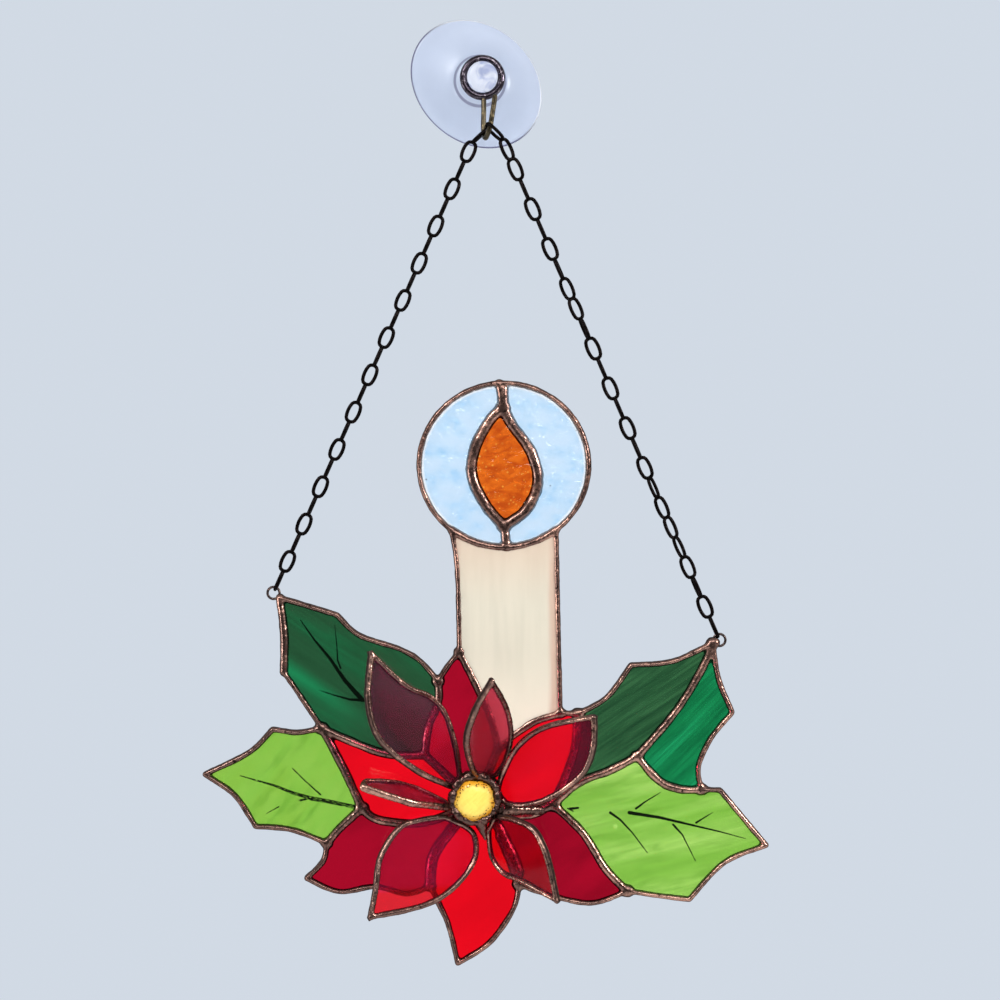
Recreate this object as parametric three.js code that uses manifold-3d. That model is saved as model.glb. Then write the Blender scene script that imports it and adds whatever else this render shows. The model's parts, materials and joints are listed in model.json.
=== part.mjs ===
// Stained glass suncatcher: a candle with a halo, a poinsettia with six raised petals and
// five holly leaves, all foiled and soldered, on two chains from a suction-cup hook.
//
// Millimetres, +Z up, the viewer on the -Y side. The origin is the middle of the suction cup's
// flat back, which is pressed on the window pane, the plane Y = 0. Everything hangs below and
// in front of it. The shapes are drawn in the plane of the panel, x to the right, y up and z
// out of the window towards the viewer, and the outer group stands that plane upright.

import * as THREE from 'three';
import { mergeVertices } from 'three/addons/utils/BufferGeometryUtils.js';
import Module from 'manifold-3d';

const wasm = await Module();
wasm.setup();

// ---- Driving dimensions -------------------------------------------------------------------

const GAP = 0.3; // clearance between neighbouring solids

const panel = {
  depth: 12, // window plane to the middle of the glass
  glass: 3, // thickness of the flat glass
  bead: 4.8, // thickness of the soldered seams, front to back
  web: 0.8, // solder between two neighbouring pieces of glass
  rim: 0.9, // half the width of the solder along an outer edge
  seam: 1.5, // half the width of a seam between two pieces
  bold: 1.75, // half the width of the seams around the flame
};

const run = { bend: 20, length: 25 }; // straight runs along a curved edge: turn in degrees, length

const halo = { x: 8.1, y: -132, rx: 28.8, ry: 27.9 };

const flower = {
  x: -2, // middle of the poinsettia
  y: -246.2,
  rootDepth: 19.5, // window plane to the raised petals' roots
  rim: 2.0, // width of the foil around a raised petal
  rimThickness: 3.0,
  glassThickness: 1.8,
};

const centre = {
  x: -1.7,
  y: -244.4,
  radius: 9.2, // lumpy solder around the yellow centre
  back: 14.7, // heights above the window plane
  front: 26,
  gemRadius: 7.2,
  gemBack: 21,
  gemFront: 27.6,
};

const wire = { link: 0.6, ring: 0.45, hook: 0.9 }; // wire radii
const link = { width: 3.9, overlap: 0.12 }; // middle of the wire across a link; bite where two touch
const ring = { radius: 2.04, left: [-70.2, -175.4], right: [81.4, -191.4] };

const cup = {
  long: 24.5, // half axes of the pressed rim
  short: 20,
  turn: 138, // direction of the long axis, degrees
  shiftX: -1.4, // middle of the rim from the middle of the flange
  shiftY: -0.5,
  knob: 5.6,
  neck: 4.9,
  flange: 8.5,
};

const eye = { x: 0.8, y: 0.6, radius: 6.5, wire: 1.3, depth: 7.45 }; // the hook's ring round the neck

// ---- Small helpers ------------------------------------------------------------------------

const rad = THREE.MathUtils.degToRad;
const vec = (p) => new THREE.Vector2(p[0], p[1]);

// A closed geometry as a manifold solid.
function solid(geometry) {
  const bare = geometry.index ? geometry.toNonIndexed() : geometry.clone();
  bare.deleteAttribute('normal');
  bare.deleteAttribute('uv');
  const merged = mergeVertices(bare, 1e-4);
  const triangles = [];
  const index = merged.index.array;
  for (let i = 0; i < index.length; i += 3) {
    const [a, b, c] = [index[i], index[i + 1], index[i + 2]];
    if (a !== b && b !== c && c !== a) triangles.push(a, b, c);
  }
  return new wasm.Manifold(
    new wasm.Mesh({
      numProp: 3,
      vertProperties: new Float32Array(merged.attributes.position.array),
      triVerts: new Uint32Array(triangles),
    }),
  );
}

function toGeometry(body) {
  const mesh = body.getMesh();
  const geometry = new THREE.BufferGeometry();
  geometry.setAttribute('position', new THREE.BufferAttribute(mesh.vertProperties, 3));
  geometry.setIndex(new THREE.BufferAttribute(mesh.triVerts, 1));
  geometry.computeVertexNormals();
  return geometry;
}

const join = (bodies) => bodies.reduce((sum, body) => sum.add(body));
const cut = (body, cutters) => cutters.reduce((rest, cutter) => rest.subtract(cutter), body);

// A flat outline given thickness, centred on the drawing plane.
function plate(outline, thickness) {
  const depth = thickness;
  const geometry = new THREE.ExtrudeGeometry(new THREE.Shape(outline), { depth, bevelEnabled: false });
  geometry.translate(0, 0, -depth / 2);
  return solid(geometry);
}

// How far a curve turns from end to end, bends either way added up.
function turning(curve) {
  const samples = curve.getSpacedPoints(40);
  let turn = 0;
  for (let i = 1; i < samples.length - 1; i += 1) {
    const into = samples[i].clone().sub(samples[i - 1]);
    const out = samples[i + 1].clone().sub(samples[i]);
    turn += Math.abs(Math.atan2(into.cross(out), into.dot(out)));
  }
  return turn;
}

// A smooth curve through a few points, cut into straight runs that each turn by about one bend
// and are no longer than one step.
function smooth(points) {
  if (points.length === 2) return points.map(vec);
  const curve = new THREE.SplineCurve(points.map(vec));
  const forBends = Math.round(turning(curve) / rad(run.bend));
  const forLength = Math.round(curve.getLength() / run.length);
  return curve.getSpacedPoints(Math.max(2, forBends, forLength));
}

// A ribbon of even width along a line of points, with mitred bends. Its ends are square, or
// pointed where they reach past the last point, which fills the corner between two ribbons.
function ribbon(points, half, thickness, reach = 0) {
  const last = points.length - 1;
  const side = points.map((p, i) => {
    const before = points[Math.max(i - 1, 0)];
    const after = points[Math.min(i + 1, last)];
    const into = p.clone().sub(before).normalize();
    const out = after.clone().sub(p).normalize();
    if (i === 0) into.copy(out);
    if (i === last) out.copy(into);
    const mitre = into.clone().add(out).normalize();
    const width = half / Math.max(mitre.dot(into), 0.5);
    return new THREE.Vector2(-mitre.y, mitre.x).multiplyScalar(width);
  });
  const left = points.map((p, i) => p.clone().add(side[i])).reverse();
  const right = points.map((p, i) => p.clone().sub(side[i]));
  if (reach > 0) {
    const beyond = (p, q) => p.clone().add(p.clone().sub(q).setLength(reach));
    right.push(beyond(points[last], points[last - 1]));
    left.push(beyond(points[0], points[1]));
  }
  return plate([...right, ...left], thickness);
}

// A round spot of solder where edges meet.
function spot(p, half, thickness, sides = 8) {
  const radius = half * 0.98;
  const outline = Array.from({ length: sides }, (_, i) => {
    const angle = ((i + 0.5) / sides) * 2 * Math.PI;
    return new THREE.Vector2(p.x + radius * Math.cos(angle), p.y + radius * Math.sin(angle));
  });
  return plate(outline, thickness);
}

// Puts edges end to end, each turned the way the last one left off, and gives the outline.
function chainEdges(edges) {
  const same = (a, b) => a.distanceTo(b) < 1e-6;
  const first = edges[0].points;
  const second = edges[1].points;
  const startsRight = same(first.at(-1), second[0]) || same(first.at(-1), second.at(-1));
  const outline = startsRight ? [...first] : [...first].reverse();
  for (const edge of edges.slice(1)) {
    const points = same(edge.points[0], outline.at(-1)) ? edge.points : [...edge.points].reverse();
    outline.push(...points.slice(1));
  }
  outline.pop();
  return outline;
}

// The outline of a piece, drawn in by an even distance from each of its edges.
function inset(edges, distance, thickness) {
  const body = plate(chainEdges(edges), thickness);
  const over = thickness + 1;
  const walls = edges.map((edge) => ribbon(edge.points, distance, over));
  const corners = edges.map((edge) => spot(edge.points[0], distance, over));
  return cut(body, [...walls, ...corners]);
}

function named(name, geometry, material) {
  const mesh = new THREE.Mesh(geometry, material.clone());
  mesh.name = name;
  return mesh;
}

// ---- Materials ----------------------------------------------------------------------------

function glass(color, opacity = 0.85) {
  return new THREE.MeshStandardMaterial({ color, roughness: 0.15, metalness: 0, transparent: true, opacity });
}

const materials = {
  clear: glass(0xcfe4f5, 0.45),
  amber: glass(0xe0641a),
  ivory: glass(0xf0e6d2, 0.95),
  darkGreen: glass(0x1f6a38),
  emerald: glass(0x12874a),
  lime: glass(0x96d04e),
  scarlet: glass(0xe8101c),
  crimson: glass(0xa80a28),
  yellow: glass(0xf8d032, 0.95),
  solder: new THREE.MeshStandardMaterial({ color: 0x5a3f38, roughness: 0.45, metalness: 0.9 }),
  blackWire: new THREE.MeshStandardMaterial({ color: 0x17110f, roughness: 0.5, metalness: 0.8 }),
  bronzeWire: new THREE.MeshStandardMaterial({ color: 0x6b5a3c, roughness: 0.4, metalness: 0.9 }),
  vinyl: glass(0xdde6ea, 0.35),
};

// ---- The panel's plan ---------------------------------------------------------------------

function onHalo(degrees) {
  const angle = rad(degrees);
  return [halo.x + halo.rx * Math.cos(angle), halo.y + halo.ry * Math.sin(angle)];
}

function haloArc(from, to) {
  const runs = Math.round(((to - from) / 360) * 22);
  return Array.from({ length: runs + 1 }, (_, i) => vec(onHalo(from + ((to - from) * i) / runs)));
}

const haloAt = { top: 93, left: 232, foot: 272, right: 308 };

// Points where three edges meet, or where an outline turns a corner.
const at = {
  haloTop: onHalo(haloAt.top),
  haloLeft: onHalo(haloAt.left),
  haloFoot: onHalo(haloAt.foot),
  haloRight: onHalo(haloAt.right),
  flameTip: [7.8, -112.5],
  flameFoot: [8.2, -152.7],
  candleLeft: [-6.9, -195.5],
  candleFoot: [5.8, -228],
  candleRight: [27.2, -216.2],
  ringLeft: [-68, -177.1],
  leafOneTop: [-48.6, -182.9],
  leafOneSide: [-66.6, -202.3],
  leafOnePetal: [-14.3, -205.4],
  leafOneTwo: [-53.7, -221.3],
  leafOneFoot: [-19, -230.5],
  leafTwoTop: [-70.4, -221.7],
  leafTwoTip: [-93.5, -237],
  leafTwoSide: [-76.2, -254.7],
  leafTwoPetals: [-40.1, -248.5],
  leafTwoFoot: [-52, -260.4],
  heart: [flower.x, flower.y],
  petalThreeTip: [-58.8, -272.3],
  petalThreeFour: [-17, -275],
  petalFourTip: [-7.5, -301.2],
  petalFourFive: [13.3, -274.4],
  petalFiveLeaf: [50, -276.6],
  petalFiveSix: [24.8, -247.2],
  petalSixLeaf: [33.3, -216.4],
  leafThreeTop: [51.3, -199.9],
  ringRight: [79.2, -192.4],
  midribFoot: [53.4, -230.9],
  leafFourSide: [85.7, -215.9],
  leafFourFive: [75.2, -242.2],
  leafFiveTop: [81.6, -242.4],
  leafFiveTip: [97.2, -261.1],
  leafFiveSide: [71.1, -279.5],
};

const { rim, seam, bold } = panel;

function edge(from, via, to, half) {
  return { points: smooth([at[from], ...via, at[to]]), half };
}

// Every soldered edge: where it starts, the points it bends through, where it ends, half width.
const edges = {
  haloRimLeft: { points: haloArc(haloAt.top, haloAt.left), half: rim },
  haloRimRight: { points: haloArc(haloAt.right - 360, haloAt.top), half: rim },
  haloSeamLeft: { points: haloArc(haloAt.left, haloAt.foot), half: seam },
  haloSeamRight: { points: haloArc(haloAt.foot, haloAt.right), half: seam },
  wickTop: edge('haloTop', [], 'flameTip', seam),
  wickFoot: edge('flameFoot', [], 'haloFoot', seam),
  flameLeft: edge('flameTip', [[3.4, -116.6], [-1.8, -126.5], [-2.6, -136], [2.2, -146]], 'flameFoot', bold),
  flameRight: edge('flameTip', [[10.9, -118.3], [17.6, -128], [19.6, -138], [15.6, -147.3]], 'flameFoot', bold),

  candleLeftSide: edge('haloLeft', [[-7.6, -168]], 'candleLeft', rim),
  candleRightSide: edge('haloRight', [[26.3, -180]], 'candleRight', rim),
  candleFootLeft: edge('candleLeft', [[-0.7, -207.7], [4.3, -220]], 'candleFoot', seam),
  candleFootRight: edge('candleFoot', [[11.2, -223.7], [18.6, -218.9]], 'candleRight', seam),

  leafOneTopTip: edge('ringLeft', [[-59, -179.7]], 'leafOneTop', rim),
  leafOneTopEdge: edge('leafOneTop', [[-41, -189.8], [-27.2, -194.5], [-20, -198.8]], 'leafOnePetal', rim),
  leafOneSideTip: edge('ringLeft', [[-66.5, -190]], 'leafOneSide', seam),
  leafOneSideEdge: edge('leafOneSide', [[-61.2, -210.1]], 'leafOneTwo', rim),
  leafOneSeam: edge('leafOneTwo', [[-46, -224.9], [-32, -230]], 'leafOneFoot', seam),
  leafOnePetalSeam: edge('leafOnePetal', [[-14.2, -212], [-17.8, -221]], 'leafOneFoot', seam),

  leafTwoTopEdge: edge('leafOneTwo', [[-62, -222.8]], 'leafTwoTop', rim),
  leafTwoTopTip: edge('leafTwoTop', [[-78.5, -229.6]], 'leafTwoTip', rim),
  leafTwoSideTip: edge('leafTwoTip', [[-83.4, -244]], 'leafTwoSide', rim),
  leafTwoSideEdge: edge('leafTwoSide', [[-64, -255.8]], 'leafTwoFoot', rim),
  leafTwoPetalTwo: edge('leafOneTwo', [[-46.4, -235]], 'leafTwoPetals', seam),
  leafTwoPetalThree: edge('leafTwoPetals', [[-47.6, -255.3]], 'leafTwoFoot', seam),

  petalOneRim: edge('candleLeft', [[-10.6, -199.8]], 'leafOnePetal', rim),
  petalOneTwo: edge('leafOneFoot', [], 'heart', seam),
  petalTwoThree: edge('leafTwoPetals', [[-34, -252.6], [-18, -253.2]], 'heart', seam),
  petalThreeRim: edge('leafTwoFoot', [[-53.3, -266.5]], 'petalThreeTip', rim),
  petalThreeFoot: edge('petalThreeTip', [[-48, -276.8], [-35.7, -275.2], [-25, -277.6]], 'petalThreeFour', rim),
  petalThreeFourSeam: edge('heart', [[-9.5, -255.3], [-16, -265]], 'petalThreeFour', seam),
  petalFourLeft: edge('petalThreeFour', [[-11, -287.5]], 'petalFourTip', rim),
  petalFourRight: edge('petalFourTip', [[3.4, -294], [11.2, -283]], 'petalFourFive', rim),
  petalFourFiveSeam: edge('heart', [[5.8, -253.3], [11.2, -265]], 'petalFourFive', seam),
  petalFiveFoot: edge('petalFourFive', [[23.5, -278], [38, -280.7]], 'petalFiveLeaf', rim),
  petalFiveLeafSeam: edge('petalFiveSix', [[35, -257], [42.5, -268.9]], 'petalFiveLeaf', seam),
  petalFiveSixSeam: edge('heart', [[9, -250.4], [17.5, -250.7]], 'petalFiveSix', seam),
  petalSixRim: edge('candleRight', [], 'petalSixLeaf', rim),
  petalSixOne: edge('candleFoot', [], 'heart', seam),
  petalSixLeafSeam: edge('petalSixLeaf', [[32.6, -227.5], [29, -238.6]], 'petalFiveSix', seam),

  leafThreeTopEdge: edge('petalSixLeaf', [[43.2, -210.8]], 'leafThreeTop', rim),
  leafThreeTopTip: edge('leafThreeTop', [[65.5, -198.6]], 'ringRight', rim),
  midrib: edge('ringRight', [[74.8, -202.3], [66, -216.3]], 'midribFoot', seam),
  leafThreeFive: edge('midribFoot', [[44.2, -235.6], [33.6, -239.8]], 'petalFiveSix', seam),
  leafFourTopTip: edge('ringRight', [[81, -204.5]], 'leafFourSide', rim),
  leafFourSideEdge: edge('leafFourSide', [[78.4, -224.8], [74.2, -234.5]], 'leafFourFive', rim),
  leafFourFiveSeam: edge('midribFoot', [[61, -239.2], [68, -242]], 'leafFourFive', seam),
  leafFiveTopEdge: edge('leafFourFive', [], 'leafFiveTop', rim),
  leafFiveTopTip: edge('leafFiveTop', [[89.2, -251.6]], 'leafFiveTip', rim),
  leafFiveSideTip: edge('leafFiveTip', [[83, -267]], 'leafFiveSide', rim),
  leafFiveFoot: edge('leafFiveSide', [[60.5, -278.2]], 'petalFiveLeaf', rim),
};

// Each piece of flat glass: its material and the edges around it, in order.
const pieces = {
  halo_glass_left: ['clear', 'haloRimLeft haloSeamLeft wickFoot flameLeft wickTop'],
  halo_glass_right: ['clear', 'wickTop flameRight wickFoot haloSeamRight haloRimRight'],
  flame_glass: ['amber', 'flameLeft flameRight'],
  candle_glass: [
    'ivory',
    'haloSeamLeft haloSeamRight candleRightSide candleFootRight candleFootLeft candleLeftSide',
  ],
  holly_glass_upper_left: [
    'darkGreen',
    'leafOneSideTip leafOneSideEdge leafOneSeam leafOnePetalSeam leafOneTopEdge leafOneTopTip',
  ],
  holly_glass_lower_left: [
    'lime',
    'leafTwoTopEdge leafTwoTopTip leafTwoSideTip leafTwoSideEdge leafTwoPetalThree leafTwoPetalTwo',
  ],
  holly_glass_upper_right: [
    'darkGreen',
    'leafThreeTopEdge leafThreeTopTip midrib leafThreeFive petalSixLeafSeam',
  ],
  holly_glass_far_right: ['emerald', 'leafFourTopTip leafFourSideEdge leafFourFiveSeam midrib'],
  holly_glass_lower_right: [
    'lime',
    'leafFiveTopEdge leafFiveTopTip leafFiveSideTip leafFiveFoot petalFiveLeafSeam leafThreeFive leafFourFiveSeam',
  ],
  back_petal_glass_top: ['crimson', 'petalOneRim leafOnePetalSeam petalOneTwo petalSixOne candleFootLeft'],
  back_petal_glass_left: ['scarlet', 'leafOneSeam petalOneTwo petalTwoThree leafTwoPetalTwo'],
  back_petal_glass_lower_left: [
    'crimson',
    'petalTwoThree petalThreeFourSeam petalThreeFoot petalThreeRim leafTwoPetalThree',
  ],
  back_petal_glass_bottom: ['scarlet', 'petalThreeFourSeam petalFourFiveSeam petalFourRight petalFourLeft'],
  back_petal_glass_lower_right: [
    'crimson',
    'petalFourFiveSeam petalFiveSixSeam petalFiveLeafSeam petalFiveFoot',
  ],
  back_petal_glass_right: [
    'scarlet',
    'petalSixOne petalFiveSixSeam petalSixLeafSeam petalSixRim candleFootRight',
  ],
};

function panelGlass(edgeNames) {
  const around = edgeNames.split(' ').map((name) => edges[name]);
  return inset(around, panel.web / 2 + GAP, panel.glass);
}

function panelPocket(edgeNames) {
  const around = edgeNames.split(' ').map((name) => edges[name]);
  return inset(around, panel.web / 2, panel.glass + 2 * GAP);
}

// One network of solder: beads along every edge, hollowed where the glass sits in it. A sliver
// that the cuts leave loose is dropped.
function panelSolder() {
  const beads = Object.values(edges).map((e) => ribbon(e.points, e.half, panel.bead, e.half * 0.8));
  const pockets = Object.values(pieces).map(([, edgeNames]) => panelPocket(edgeNames));
  const room = ring.radius + wire.ring + GAP;
  const rings = [ring.left, ring.right].map((p) => spot(vec(p), room, panel.bead + 1, 10));
  const parts = cut(join(beads), [...pockets, ...rings]).decompose();
  return parts.reduce((largest, part) => (part.volume() > largest.volume() ? part : largest));
}

// ---- The raised petals --------------------------------------------------------------------

// Root direction from the flower's middle, then heading, lift towards the viewer and roll, in
// degrees, and the outline: x along the petal, y to its left, from root to tip to root.
const petals = {
  upper_left: {
    material: 'crimson', root: 135, rootRadius: 8.2, heading: 121.4, lift: 17, roll: 36,
    left: [[0.4, 2.3], [14.5, 10.8], [32, 16.2], [45.8, 11.6]],
    tip: [57.9, -0.4],
    right: [[40.4, -5.1], [30.9, -10.9], [22, -12.5], [10.7, -9], [0.8, -3.6]],
  },
  top: {
    material: 'crimson', root: 62, rootRadius: 8.2, heading: 85.9, lift: 38, roll: 38,
    left: [[0, 1.5], [9.3, 6.9], [24.8, 10.2], [38, 6.8]],
    tip: [48.2, 0.4],
    right: [[31.9, -7.1], [18, -10.2], [6.5, -8.8], [0.9, -4.8]],
  },
  right: {
    material: 'scarlet', root: 18, rootRadius: 8.2, heading: 42.7, lift: 28, roll: -18,
    left: [[0, 1.5], [6.5, 5.6], [18, 9.4], [31.5, 8.3]],
    tip: [50.2, -0.1],
    right: [[43.3, -8.4], [33.4, -13.6], [18, -13], [6.8, -9.2], [0.6, -4.3]],
  },
  left: {
    material: 'crimson', root: 190, rootRadius: 7.5, heading: 163.2, lift: 30, roll: 74,
    left: [[0, 1], [10.2, 3.4], [19, 4.5]],
    tip: [36.3, 0.7],
    right: [[33, -5.2], [22.8, -9.2], [12.5, -10], [6, -6.6], [0.5, -3.5]],
  },
  lower_left: {
    material: 'crimson', root: 223, rootRadius: 7.5, heading: 226.8, lift: 22, roll: -8,
    left: [[-1, 3], [-1, 8.5], [5.2, 14.4], [17, 15.6], [29.6, 11.8]],
    tip: [46.7, -0.2],
    right: [[37.6, -5.9], [28.5, -12], [16.5, -13.9], [9, -10.2], [2, -4.6]],
  },
  lower_right: {
    material: 'crimson', root: -46.5, rootRadius: 8.2, heading: -47.7, lift: 30, roll: 40,
    left: [[0, 4], [7.8, 10.3], [17, 14.2], [27, 10.6]],
    tip: [39.1, 0.3],
    right: [[23.7, -6.6], [14, -11.7], [6, -10.6], [0, -3.4]],
  },
};

function petalGroup(petal) {
  const group = new THREE.Group();
  const angle = rad(petal.root);
  const x = flower.x + petal.rootRadius * Math.cos(angle);
  const y = flower.y + petal.rootRadius * Math.sin(angle);
  group.position.set(x, y, flower.rootDepth);
  group.rotation.set(rad(petal.roll), -rad(petal.lift), rad(petal.heading), 'ZYX');
  group.updateMatrix();
  return group;
}

function petalEdges(petal) {
  const sides = [
    [...petal.left, petal.tip],
    [petal.tip, ...petal.right],
    [petal.right.at(-1), petal.left[0]],
  ];
  return sides.map((points) => ({ points: smooth(points) }));
}

// The petals stop short of the solder in the middle of the flower.
function rootCutter(group) {
  const radius = centre.radius + GAP;
  const height = centre.front + 8 - centre.back;
  const cylinder = new THREE.CylinderGeometry(radius, radius, height, 16);
  cylinder.rotateX(Math.PI / 2);
  cylinder.translate(centre.x, centre.y, centre.back - GAP + height / 2);
  cylinder.applyMatrix4(group.matrix.clone().invert());
  return solid(cylinder);
}

function petalMeshes(name, petal) {
  const group = petalGroup(petal);
  const around = petalEdges(petal);
  const cutter = rootCutter(group);
  const through = flower.rimThickness + 1;
  const window = inset(around, flower.rim, through);
  const pocket = inset(around, panel.web, flower.glassThickness + 2 * GAP);
  const foil = cut(plate(chainEdges(around), flower.rimThickness), [window, pocket, cutter]);
  const pane = cut(inset(around, panel.web + GAP, flower.glassThickness), [cutter]);
  group.add(named(`front_petal_rim_${name}`, toGeometry(foil), materials.solder));
  group.add(named(`front_petal_glass_${name}`, toGeometry(pane), materials[petal.material]));
  return group;
}

// ---- The flower's centre ------------------------------------------------------------------

function turned(profile, segments) {
  const geometry = new THREE.LatheGeometry(profile.map(vec), segments);
  geometry.rotateX(Math.PI / 2);
  return geometry;
}

function centreSolder() {
  const { radius, back, front, gemRadius, gemBack } = centre;
  const inner = gemRadius + GAP;
  const profile = [
    [0, back],
    [radius, back],
    [radius, front - 2.5],
    [radius - 1.2, front],
    [inner, front],
    [inner, gemBack - GAP],
    [0, gemBack - GAP],
  ];
  return turned(profile, 16);
}

function centreGem() {
  const { gemRadius, gemBack, gemFront } = centre;
  const profile = [
    [0, gemBack],
    [gemRadius, gemBack],
    [gemRadius, gemFront - 2.4],
    [gemRadius - 1.6, gemFront - 0.6],
    [gemRadius - 4, gemFront],
    [0, gemFront],
  ];
  return turned(profile, 16);
}

// ---- Chains and rings ---------------------------------------------------------------------

function hangingRing(tube) {
  return new THREE.TorusGeometry(ring.radius, tube, 5, 10);
}

// A long link: a small ring whose two halves are drawn apart along y.
function longLink(length) {
  const geometry = new THREE.TorusGeometry(link.width / 2, wire.link, 4, 6);
  geometry.rotateZ(Math.PI / 6);
  geometry.scale(1 / Math.cos(Math.PI / 6), 1, 1);
  const position = geometry.attributes.position;
  const pull = (length - link.width) / 2;
  for (let i = 0; i < position.count; i += 1) {
    position.setY(i, position.getY(i) + Math.sign(position.getY(i)) * pull);
  }
  return geometry;
}

// Places a link between the two points where it bears on its neighbours. A roll of 0 shows the
// viewer its open face.
function placeLink(from, to, roll) {
  const along = to.clone().sub(from);
  const length = along.length() + 2 * wire.link - link.overlap;
  const y = along.normalize();
  const z = new THREE.Vector3(0, 0, 1).addScaledVector(y, -y.z).normalize();
  z.applyAxisAngle(y, rad(roll));
  const x = new THREE.Vector3().crossVectors(y, z);
  const matrix = new THREE.Matrix4().makeBasis(x, y, z);
  matrix.setPosition(from.clone().add(to).multiplyScalar(0.5));
  return solid(longLink(length).applyMatrix4(matrix));
}

const smoothstep = THREE.MathUtils.smoothstep;

const chains = {
  left: {
    count: 25,
    hook: [2.6, -17.1, 9],
    bend: [-2.55, -21.8, 9],
    ring: ring.left,
    twist: () => 90,
  },
  right: {
    count: 26,
    hook: [2.3, -16.5, 15],
    bend: [7.65, -21.6, 15],
    ring: ring.right,
    twist: (i) => 70 * (1 - smoothstep(i, 1, 4)) + 90 * (smoothstep(i, 7, 12) + smoothstep(i, 15, 26)),
  },
};

// The first link leans from the hook to the bend, and the rest run straight to the ring.
function chain({ count, hook, bend, ring: ringAt, twist }) {
  const top = new THREE.Vector3(...hook);
  const start = new THREE.Vector3(...bend);
  const end = new THREE.Vector3(ringAt[0], ringAt[1], panel.depth);
  const down = end.clone().sub(start).normalize();
  end.addScaledVector(down, -ring.radius + wire.ring + GAP);
  const links = [placeLink(top, start, twist(1))];
  for (let i = 2; i <= count; i += 1) {
    const from = start.clone().lerp(end, (i - 2) / (count - 1));
    const to = start.clone().lerp(end, (i - 1) / (count - 1));
    links.push(placeLink(from, to, twist(i) + (i % 2 ? 0 : 90)));
  }
  return toGeometry(join(links));
}

// ---- Hook and suction cup -----------------------------------------------------------------

const hookPath = [
  [eye.x + 0.4, eye.y - eye.radius, eye.depth],
  [1.25, -11, 8.6],
  [1.15, -16, 9],
  [1.35, -19.3, 9.7],
  [1.95, -20.7, 12],
  [2.75, -19.3, 14.3],
  [3.7, -16, 15],
  [5.1, -7.2, 15.6],
];

function hookWire() {
  const path = new THREE.CatmullRomCurve3(hookPath.map((p) => new THREE.Vector3(...p)));
  const round = Array.from({ length: 6 }, (_, i) => {
    const angle = (i / 6) * 2 * Math.PI;
    return new THREE.Vector2(wire.hook * Math.cos(angle), wire.hook * Math.sin(angle));
  });
  const bent = new THREE.ExtrudeGeometry(new THREE.Shape(round), { steps: 14, extrudePath: path });
  const loop = new THREE.TorusGeometry(eye.radius, eye.wire, 5, 14);
  loop.translate(eye.x, eye.y, eye.depth);
  return toGeometry(solid(bent).add(solid(loop)));
}

// A soft round cup whose rim is pressed to an oval. The oval grows in from the flange outwards,
// and the neck and the knob stand on the flange in line with the hook's ring.
function suctionCup() {
  const rimRadius = (cup.long + cup.short) / 2;
  const profile = [
    [0, 0],
    [rimRadius, 0],
    [rimRadius, 0.9],
    [15, 1.9],
    [cup.flange + 1, 3.6],
    [cup.flange, 5.9],
    [cup.neck, 5.9],
    [cup.neck, 9],
    [cup.knob, 9],
    [cup.knob, 10.6],
    [cup.knob - 1, 11.4],
    [0, 11.4],
  ];
  const geometry = turned(profile, 22);
  const position = geometry.attributes.position;
  for (let i = 0; i < position.count; i += 1) {
    const x = position.getX(i);
    const y = position.getY(i);
    const radius = Math.hypot(x, y);
    const share = THREE.MathUtils.clamp((radius - cup.flange) / (rimRadius - cup.flange), 0, 1);
    const off = Math.atan2(y, x) - rad(cup.turn);
    const oval = (cup.long * cup.short) / Math.hypot(cup.short * Math.cos(off), cup.long * Math.sin(off));
    const stretch = 1 + share * (oval / rimRadius - 1);
    const onFlange = radius < (cup.knob + cup.flange) / 2 && position.getZ(i) > GAP;
    const [offX, offY] = onFlange ? [eye.x, eye.y] : [share * cup.shiftX, share * cup.shiftY];
    position.setXY(i, x * stretch + offX, y * stretch + offY);
  }
  return toGeometry(solid(geometry));
}

// ---- Assembly -----------------------------------------------------------------------------

const suncatcher = new THREE.Group();
suncatcher.rotation.x = Math.PI / 2; // stands the drawing plane upright

const leaded = new THREE.Group(); // the flat panel, in front of the window
leaded.position.z = panel.depth;
leaded.add(named('solder_seams', toGeometry(panelSolder()), materials.solder));
for (const [name, [material, edgeNames]] of Object.entries(pieces)) {
  leaded.add(named(name, toGeometry(panelGlass(edgeNames)), materials[material]));
}
for (const side of ['left', 'right']) {
  const mesh = named(`hanging_ring_${side}`, hangingRing(wire.ring), materials.solder);
  mesh.position.set(ring[side][0], ring[side][1], 0);
  leaded.add(mesh);
}
suncatcher.add(leaded);

for (const [name, petal] of Object.entries(petals)) {
  suncatcher.add(petalMeshes(name, petal));
}

const bloom = new THREE.Group(); // the flower's centre
bloom.position.set(centre.x, centre.y, 0);
bloom.add(named('flower_centre_solder', centreSolder(), materials.solder));
bloom.add(named('flower_centre_gem', centreGem(), materials.yellow));
suncatcher.add(bloom);

for (const [side, route] of Object.entries(chains)) {
  suncatcher.add(named(`chain_${side}`, chain(route), materials.blackWire));
}
suncatcher.add(named('hook_wire', hookWire(), materials.bronzeWire));
suncatcher.add(named('suction_cup', suctionCup(), materials.vinyl));

export default suncatcher;
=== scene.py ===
"""Stained glass suncatcher: the finish of a leaded window ornament, laid out as an add-on.

A candle with a round halo, a poinsettia with six raised petals and five holly leaves, foiled and
soldered, hang on two chains from a wire hook and a clear suction cup. Every flat shape is drawn
in millimetres in the plane of the panel, x to the right and y up, as in the part's source, and
is then stood up in the frame, in metres.
"""

import json
import math
import random

import bmesh
import bpy
import numpy as np
from bpy.props import FloatProperty, FloatVectorProperty, IntProperty, PointerProperty
from mathutils import Matrix, Vector
from mathutils.geometry import tessellate_polygon


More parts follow.
